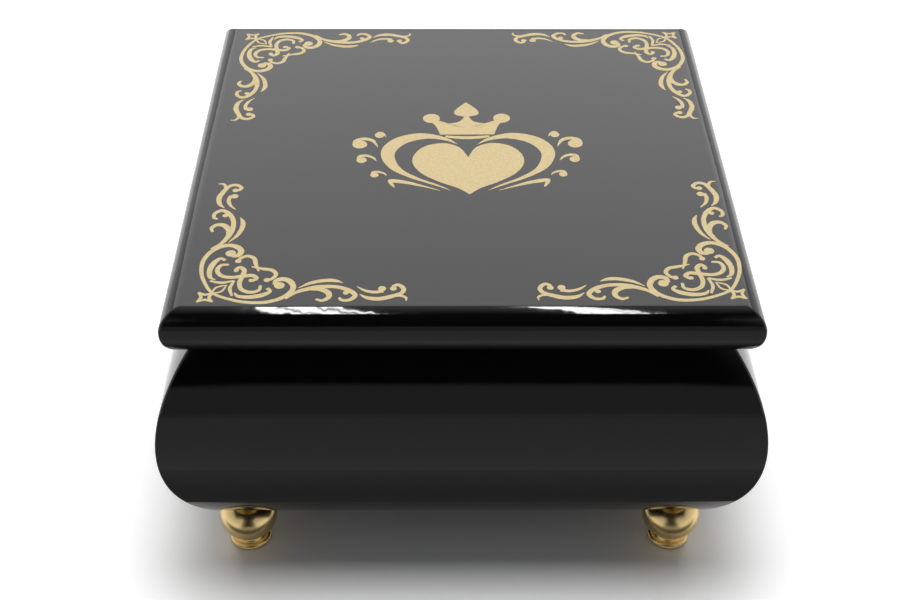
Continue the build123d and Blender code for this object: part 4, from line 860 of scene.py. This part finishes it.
def worked_metal_group():
    """Node group: a metal's colour between bright and dull, its roughness, and a height for its grain."""
    group, given, result = new_group(
        "worked_metal",
        {
            "Bright": (0.8, 0.6, 0.3, 1),
            "Dull": (0.6, 0.45, 0.2, 1),
            "Stretch": (900, 900, 900),
            "Roughness": 0.25,
            "Variation": 0.15,
        },
        {"Color": "Color", "Roughness": "Float", "Grain": "Float"},
    )
    place = add_node(group, "TexCoord").outputs["Object"]
    stretched = math_step(group, "MULTIPLY", place, given["Stretch"], kind="VectorMath")
    grain = add_node(group, "TexNoise", Vector=stretched, Scale=1.0, Detail=3.0).outputs["Fac"]
    handled = add_node(group, "TexNoise", Vector=place, Scale=130.0, Detail=3.0).outputs["Fac"]
    dulled = mapped(group, handled, 0.35, 0.70)
    uneven = math_step(group, "ADD", grain, dulled)
    rough = math_step(group, "MULTIPLY_ADD", uneven, given["Variation"], given["Roughness"])
    group.links.new(mixed(group, dulled, given["Bright"], given["Dull"]), result["Color"])
    group.links.new(rough, result["Roughness"])
    group.links.new(grain, result["Grain"])
    return group


worked_metal = worked_metal_group()


def metal(name, bright, dull, roughness, variation, stretch, depth):
    """A metal whose grain is stretched along its working direction and raised by a depth in metres."""
    material = plain_material(name, bright, roughness, 1.0)
    effect = apply_group(
        material,
        worked_metal,
        Bright=(*bright, 1),
        Dull=(*dull, 1),
        Stretch=stretch,
        Roughness=roughness,
        Variation=variation,
    )
    drive(material, Base_Color=effect["Color"], Roughness=effect["Roughness"])
    raise_surface(material, effect["Grain"], depth, strength=0.6)
    return material


finishes = {
    name: metal(name, *looks)
    for name, *looks in (
        ("hinge_brass", (0.84, 0.63, 0.30), (0.74, 0.53, 0.24), 0.13, 0.10, (180, 3500, 3500), 0.000002),
        ("brass_screw", (0.80, 0.58, 0.26), (0.55, 0.37, 0.15), 0.18, 0.14, (2500, 2500, 900), 0.000003),
        ("stud_steel", (0.66, 0.67, 0.69), (0.46, 0.46, 0.47), 0.26, 0.16, (2500, 2500, 900), 0.000004),
        ("bed_metal", (0.72, 0.62, 0.40), (0.52, 0.44, 0.27), 0.36, 0.20, (3200, 3200, 3200), 0.000012),
        ("comb_steel", (0.72, 0.72, 0.74), (0.55, 0.55, 0.57), 0.16, 0.14, (6000, 260, 6000), 0.000004),
        ("spring_steel", (0.20, 0.23, 0.33), (0.10, 0.11, 0.16), 0.22, 0.12, (1500, 1500, 1500), 0.000002),
        ("gear_brass", (0.85, 0.65, 0.32), (0.66, 0.47, 0.21), 0.16, 0.15, (2600, 2600, 2600), 0.000004),
        ("pin_steel", (0.74, 0.74, 0.75), (0.58, 0.58, 0.60), 0.14, 0.10, (2500, 2500, 2500), 0.000002),
        ("shaft_steel", (0.66, 0.66, 0.68), (0.48, 0.48, 0.50), 0.16, 0.14, (3500, 900, 3500), 0.000003),
        ("key_steel", (0.80, 0.78, 0.74), (0.60, 0.58, 0.54), 0.09, 0.10, (1200, 1200, 1200), 0.000002),
        ("bracket_steel", (0.70, 0.70, 0.71), (0.52, 0.52, 0.53), 0.24, 0.18, (900, 900, 5000), 0.000004),
        ("fly_brass", (0.86, 0.68, 0.36), (0.66, 0.49, 0.24), 0.20, 0.12, (1500, 1500, 4500), 0.000002),
    )
}

# Inner wood: the partition and the cover's cleats, painted satin black, with the board's grain showing
# faintly through the paint.
inner_wood = plain_material("inner_wood", (0.012, 0.012, 0.013), 0.42)
wood_tree = inner_wood.node_tree
wood_place = add_node(wood_tree, "TexCoord").outputs["Object"]
wood_stretch = add_node(wood_tree, "Mapping", Vector=wood_place, Scale=(60, 1400, 1400)).outputs[0]
wood_grain = add_node(wood_tree, "TexNoise", Vector=wood_stretch, Scale=1.0, Detail=5.0).outputs["Fac"]
wood_tint = tinted(wood_tree, wood_grain, 0.0, 1.0, (0.008, 0.008, 0.009), (0.022, 0.021, 0.021))
drive(inner_wood, Base_Color=wood_tint)
raise_surface(inner_wood, wood_grain, 0.00003, strength=0.5)
finishes["inner_wood"] = inner_wood

# Clear cover: a sheet of polished acrylic over the movement. Rays from the lamps pass it straight, so
# that the movement below is lit as it is under a thin clear sheet.
clear_tint = (0.975, 0.99, 0.985)
clear_acrylic = plain_material("clear_acrylic", clear_tint, 0.02, IOR=1.49, Transmission_Weight=1.0)
acrylic_tree = clear_acrylic.node_tree
acrylic_mix = add_node(
    acrylic_tree,
    "MixShader",
    Fac=add_node(acrylic_tree, "LightPath").outputs["Is Shadow Ray"],
    _1=acrylic_tree.nodes["Principled BSDF"].outputs[0],
    _2=add_node(acrylic_tree, "BsdfTransparent", Color=(0.95, 0.97, 0.96, 1)).outputs[0],
)
acrylic_tree.links.new(acrylic_mix.outputs[0], acrylic_tree.nodes["Material Output"].inputs["Surface"])
polished(clear_acrylic, 0.015, 0.02, 0.08)
finishes["clear_acrylic"] = clear_acrylic

for part in frame["record"]["subparts"]:
    if part["material_slot"] in finishes:
        for place in frame["nodes"][part["node"]].material_slots:
            place.material = finishes[part["material_slot"]]

# Spring housing: a deep-drawn cup, nickel plated and polished, over the mainspring. Its top is slightly
# dished, and the arbor passes through the middle.
housing_nickel = metal(
    "housing_nickel", (0.84, 0.81, 0.75), (0.66, 0.63, 0.58), 0.07, 0.10, (900, 900, 900), 0.000002
)
housing_low, housing_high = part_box("spring_housing")
housing_foot, housing_top = housing_low[2], housing_high[2]
housing_radius = (housing_high[0] - housing_low[0]) / 2
housing_wall = 0.0008
cup_inside = housing_radius - housing_wall
cup_ceiling = housing_top - housing_wall
dish_z = housing_top - 0.00016
arbor_bore = 0.00165
housing_profile = np.concatenate(
    [
        [(cup_inside, cup_ceiling), (cup_inside, housing_foot), (housing_radius, housing_foot)],
        arc((cup_inside, cup_ceiling), housing_wall, 0, 90, 8),
        [(housing_radius - 0.0012, housing_top), (housing_radius - 0.0030, dish_z), (0.0052, dish_z)],
        [(0.0044, housing_top), (arbor_bore, housing_top), (arbor_bore, cup_ceiling)],
        [(cup_inside, cup_ceiling)],
    ]
)
housing_mesh = merge_doubles(lathe_mesh("spring_cup", housing_profile, (*key_hole, 0), steps=96), 1e-7)
spring_cup = add_piece("spring_cup", housing_mesh, housing_nickel, sharp=40)
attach(spring_cup, "case")
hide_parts("spring_housing")

# Cylinder: a drawn brass tube, lacquered, turned smooth, with its ends chamfered. The tune's steel pins
# stand in it.
cylinder_brass = metal(
    "cylinder_brass", (0.88, 0.68, 0.34), (0.74, 0.54, 0.25), 0.10, 0.12, (7000, 500, 500), 0.000003
)
drum_low, drum_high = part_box("cylinder")
drum_radius = (drum_high[2] - drum_low[2]) / 2
drum_y, drum_z = (drum_low[1] + drum_high[1]) / 2, (drum_low[2] + drum_high[2]) / 2
drum_bore = 0.00106
drum_chamfer = 0.0004
turned_line = drum_radius - 0.0009
drum_profile = [
    (drum_bore, drum_low[0]),
    (turned_line - 0.0002, drum_low[0]),
    (turned_line, drum_low[0] + 0.00015),
    (turned_line + 0.0002, drum_low[0]),
    (drum_radius - drum_chamfer, drum_low[0]),
    (drum_radius, drum_low[0] + drum_chamfer),
    (drum_radius, drum_high[0] - drum_chamfer),
    (drum_radius - drum_chamfer, drum_high[0]),
    (drum_bore, drum_high[0]),
    (drum_bore, drum_low[0]),
]
drum_mesh = merge_doubles(lathe_mesh("drum", drum_profile, (0, drum_y, drum_z), "x", 96), 1e-7)
drum = add_piece("drum", drum_mesh, cylinder_brass, sharp=25)
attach(drum, "cylinder_group")
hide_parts("cylinder")


# Velvet: a dark red cotton velvet, its short pile brushed by hand so that patches of it lie differently.
# Its colour is painted between a shaded and a lit tone: the patches are a painted sheen where the pile lies
# differently, and the fine tufts are painted lit tips and shaded depths. It is glued round thin boards on
# the compartment's four sides.
def pile_group():
    """Node group: the pile's colour between painted lit and shaded tones, and a height for its tufts."""
    group, given, result = new_group(
        "pile",
        {"Painted_lit": (0.30, 0.015, 0.03, 1), "Painted_shade": (0.10, 0.003, 0.01, 1)},
        {"Color": "Color", "Tufts": "Float"},
    )
    place = add_node(group, "TexCoord").outputs["Object"]
    tufts = add_node(group, "TexNoise", Vector=place, Scale=2600.0, Detail=2.0).outputs["Fac"]
    # Painted sheen and shade: the patches and the tufts set the colour between the painted shaded and lit
    # tones
    brushed_sheen = add_node(group, "TexNoise", Vector=place, Scale=55.0, Detail=3.0, Distortion=1.2)
    sheen_patches = mapped(group, brushed_sheen.outputs["Fac"], 0.30, 0.75, 0.0, 0.62)
    lit = math_step(group, "MULTIPLY_ADD", tufts, 0.45, sheen_patches)
    group.links.new(mixed(group, lit, given["Painted_shade"], given["Painted_lit"]), result["Color"])
    group.links.new(tufts, result["Tufts"])
    return group


velvet = plain_material(
    "velvet",
    (0.20, 0.008, 0.02),
    0.9,
    Sheen_Weight=0.85,
    Sheen_Roughness=0.35,
    Sheen_Tint=(0.95, 0.42, 0.45, 1),
    Specular_IOR_Level=0.15,
)
velvet_pile = apply_group(velvet, pile_group())
drive(velvet, Base_Color=velvet_pile["Color"])
raise_surface(velvet, velvet_pile["Tufts"], 0.00012, strength=0.8)


def stacked_rings(middle, half, thin, inset, shrink, level, ring):
    """Rings of a flat piece: each is a unit ring times the piece's half sizes less an inset, drawn in
    towards the middle by a share from 0 to 1, and stands at its own level along the thin axis."""
    points = np.empty((len(inset), ring[0].shape[1], 3))
    wide = [axis for axis in range(3) if axis != thin]
    for axis, across in zip(wide, ring):
        points[..., axis] = middle[axis] + across * ((half[axis] - inset) * (1 - shrink))[:, None]
    points[..., thin] = level[:, None]
    return points


def covered_board(name, low, high, turned_edge=0.0005):
    """A thin board with cloth turned over its edges: rectangle rings that close in on the board's middle,
    carried round its edge by half circles, with the larger two sizes as the rectangle."""
    low, high = np.array(low), np.array(high)
    middle, half = (low + high) / 2, (high - low) / 2
    thin = int(np.argmin(half))
    round_over = min(turned_edge, half[thin])
    side = arc((0, half[thin] - round_over), round_over, 90, 0, 6)
    other = arc((0, -half[thin] + round_over), round_over, 0, -90, 6)
    edge = np.vstack([side, other])
    inset = np.concatenate([[round_over] * 2, round_over - edge[:, 0], [round_over] * 2])
    shrink = np.concatenate([[1.0, 0.5], np.zeros(len(edge)), [0.5, 1.0]])
    level = middle[thin] + np.concatenate([[half[thin]] * 2, edge[:, 1], [-half[thin]] * 2])
    ring = rounded_square(np.ones(1), np.array([1e-9]), 14, 2)
    points = stacked_rings(middle, half, thin, inset, shrink, level, ring)
    board_mesh = merge_doubles(surface_mesh(name, points, wrap_across=True), 1e-7)
    return add_piece(name, board_mesh, velvet, sharp=50)


for side in ("front", "back", "left", "right"):
    board = covered_board("velvet_" + side, *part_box("lining_" + side))
    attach(board, "case")
    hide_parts("lining_" + side)


# Pads: velvet over a thin foam sheet, one on the compartment's floor and one in the lid's recess. Each is
# glued down at its edge, and the cloth swells between, with soft folds near the corners.
glued_share = 0.62
cloth_move_shares = (0.35, 0.35, 0.5)
crown_reach = 0.0045
crown_below_top = 0.0003
cloth_below_top = 0.00005


def swollen_points(piece, steps=16):
    """Where a short cloth simulation, held by the glued points, takes a piece's points."""
    cloth = piece.modifiers.new("cloth", "CLOTH")
    cloth.settings.quality = 6
    cloth.settings.mass = 0.15
    cloth.settings.tension_stiffness = 12
    cloth.settings.compression_stiffness = 12
    cloth.settings.shear_stiffness = 4
    cloth.settings.bending_stiffness = 0.15
    cloth.settings.shrink_min = -0.06
    cloth.settings.use_pressure = True
    cloth.settings.uniform_pressure_force = 3.0
    cloth.settings.effector_weights.gravity = 0
    cloth.settings.vertex_group_mass = "glued"
    cloth.point_cache.frame_end = steps
    for step in range(1, steps + 1):
        scene.frame_set(step)
    swollen = piece.evaluated_get(bpy.context.evaluated_depsgraph_get()).to_mesh()
    points = np.empty(len(swollen.vertices) * 3)
    swollen.vertices.foreach_get("co", points)
    piece.modifiers.clear()
    scene.frame_set(1)
    return points.reshape(-1, 3)


def pad(name, node, body, up, swell=0.0008, start_thickness=0.0013, cell=0.0016):
    """A glued-down pad: a flat slab with round edges, filled by a small cloth simulation on its free side.
    up is 1 where the free side looks up and -1 where it looks down; swell caps how far cloth may move."""
    low, high = np.array(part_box(node))
    middle, half, thickness = (low + high) / 2, (high - low) / 2, high[2] - low[2]
    glued_z = low[2] if up > 0 else high[2]
    edge_round = start_thickness * 0.7
    flat_inset = 0.004
    edge = arc((0, start_thickness - edge_round), edge_round, 0, 90, 7)
    inset = np.concatenate([[0.0, 0.0], edge_round - edge[:, 0], [flat_inset] * 4])
    shrink = np.concatenate([[1.0, 0.0], np.zeros(len(edge)), [0.0, 0.34, 0.67, 1.0]])
    level = glued_z + up * np.concatenate([[0.0, 0.0], edge[:, 1], [start_thickness] * 4])
    ring = rounded_square(np.ones(1), np.array([0.02]), 26, 5)
    points = stacked_rings(middle, half, 2, inset, shrink, level, ring)
    slab_mesh = merge_doubles(surface_mesh(name, points, wrap_across=True), 1e-7)
    piece = add_piece(name, slab_mesh, velvet, sharp=80)
    grid = piece.modifiers.new("grid", "REMESH")
    grid.mode = "VOXEL"
    grid.voxel_size = cell
    bpy.context.view_layer.update()
    flat = bpy.data.meshes.new_from_object(piece.evaluated_get(bpy.context.evaluated_depsgraph_get()))
    piece.modifiers.clear()
    piece.data = flat
    before = np.empty(len(flat.vertices) * 3)
    flat.vertices.foreach_get("co", before)
    before = before.reshape(-1, 3)
    from_glue = (before[:, 2] - glued_z) * up
    free_side = from_glue > start_thickness * glued_share
    glued = piece.vertex_groups.new(name="glued")
    glued.add(np.where(~free_side)[0].tolist(), 1.0, "REPLACE")
    move = swollen_points(piece) - before
    length = np.linalg.norm(move, axis=1, keepdims=True)
    move *= swell / np.maximum(length + swell, 1e-9)
    from_edge = (half - np.abs(before - middle))[:, :2].min(axis=1)
    crown = np.where(free_side, 1 - np.exp(-np.maximum(from_edge, 0) / crown_reach), 0)
    settled = before + move * cloth_move_shares
    settled[:, 2] += up * crown * (thickness - start_thickness - crown_below_top)
    free_z = glued_z + up * (thickness - cloth_below_top)
    settled[:, 2] = np.minimum(settled[:, 2], free_z) if up > 0 else np.maximum(settled[:, 2], free_z)
    for axis in (0, 1):
        spread = settled[:, axis] - middle[axis]
        settled[:, axis] = middle[axis] + spread * half[axis] / np.abs(spread).max()
    flat.vertices.foreach_set("co", settled.ravel())
    flat.polygons.foreach_set("use_smooth", np.ones(len(flat.polygons), dtype=bool))
    flat.update()
    finer = piece.modifiers.new("finer", "SUBSURF")
    finer.levels = finer.render_levels = 1
    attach(piece, body)
    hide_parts(node)


pad("floor_pad", "lining_floor", "case", 1)
pad("lid_cushion", "lid_pad", "lid", -1)
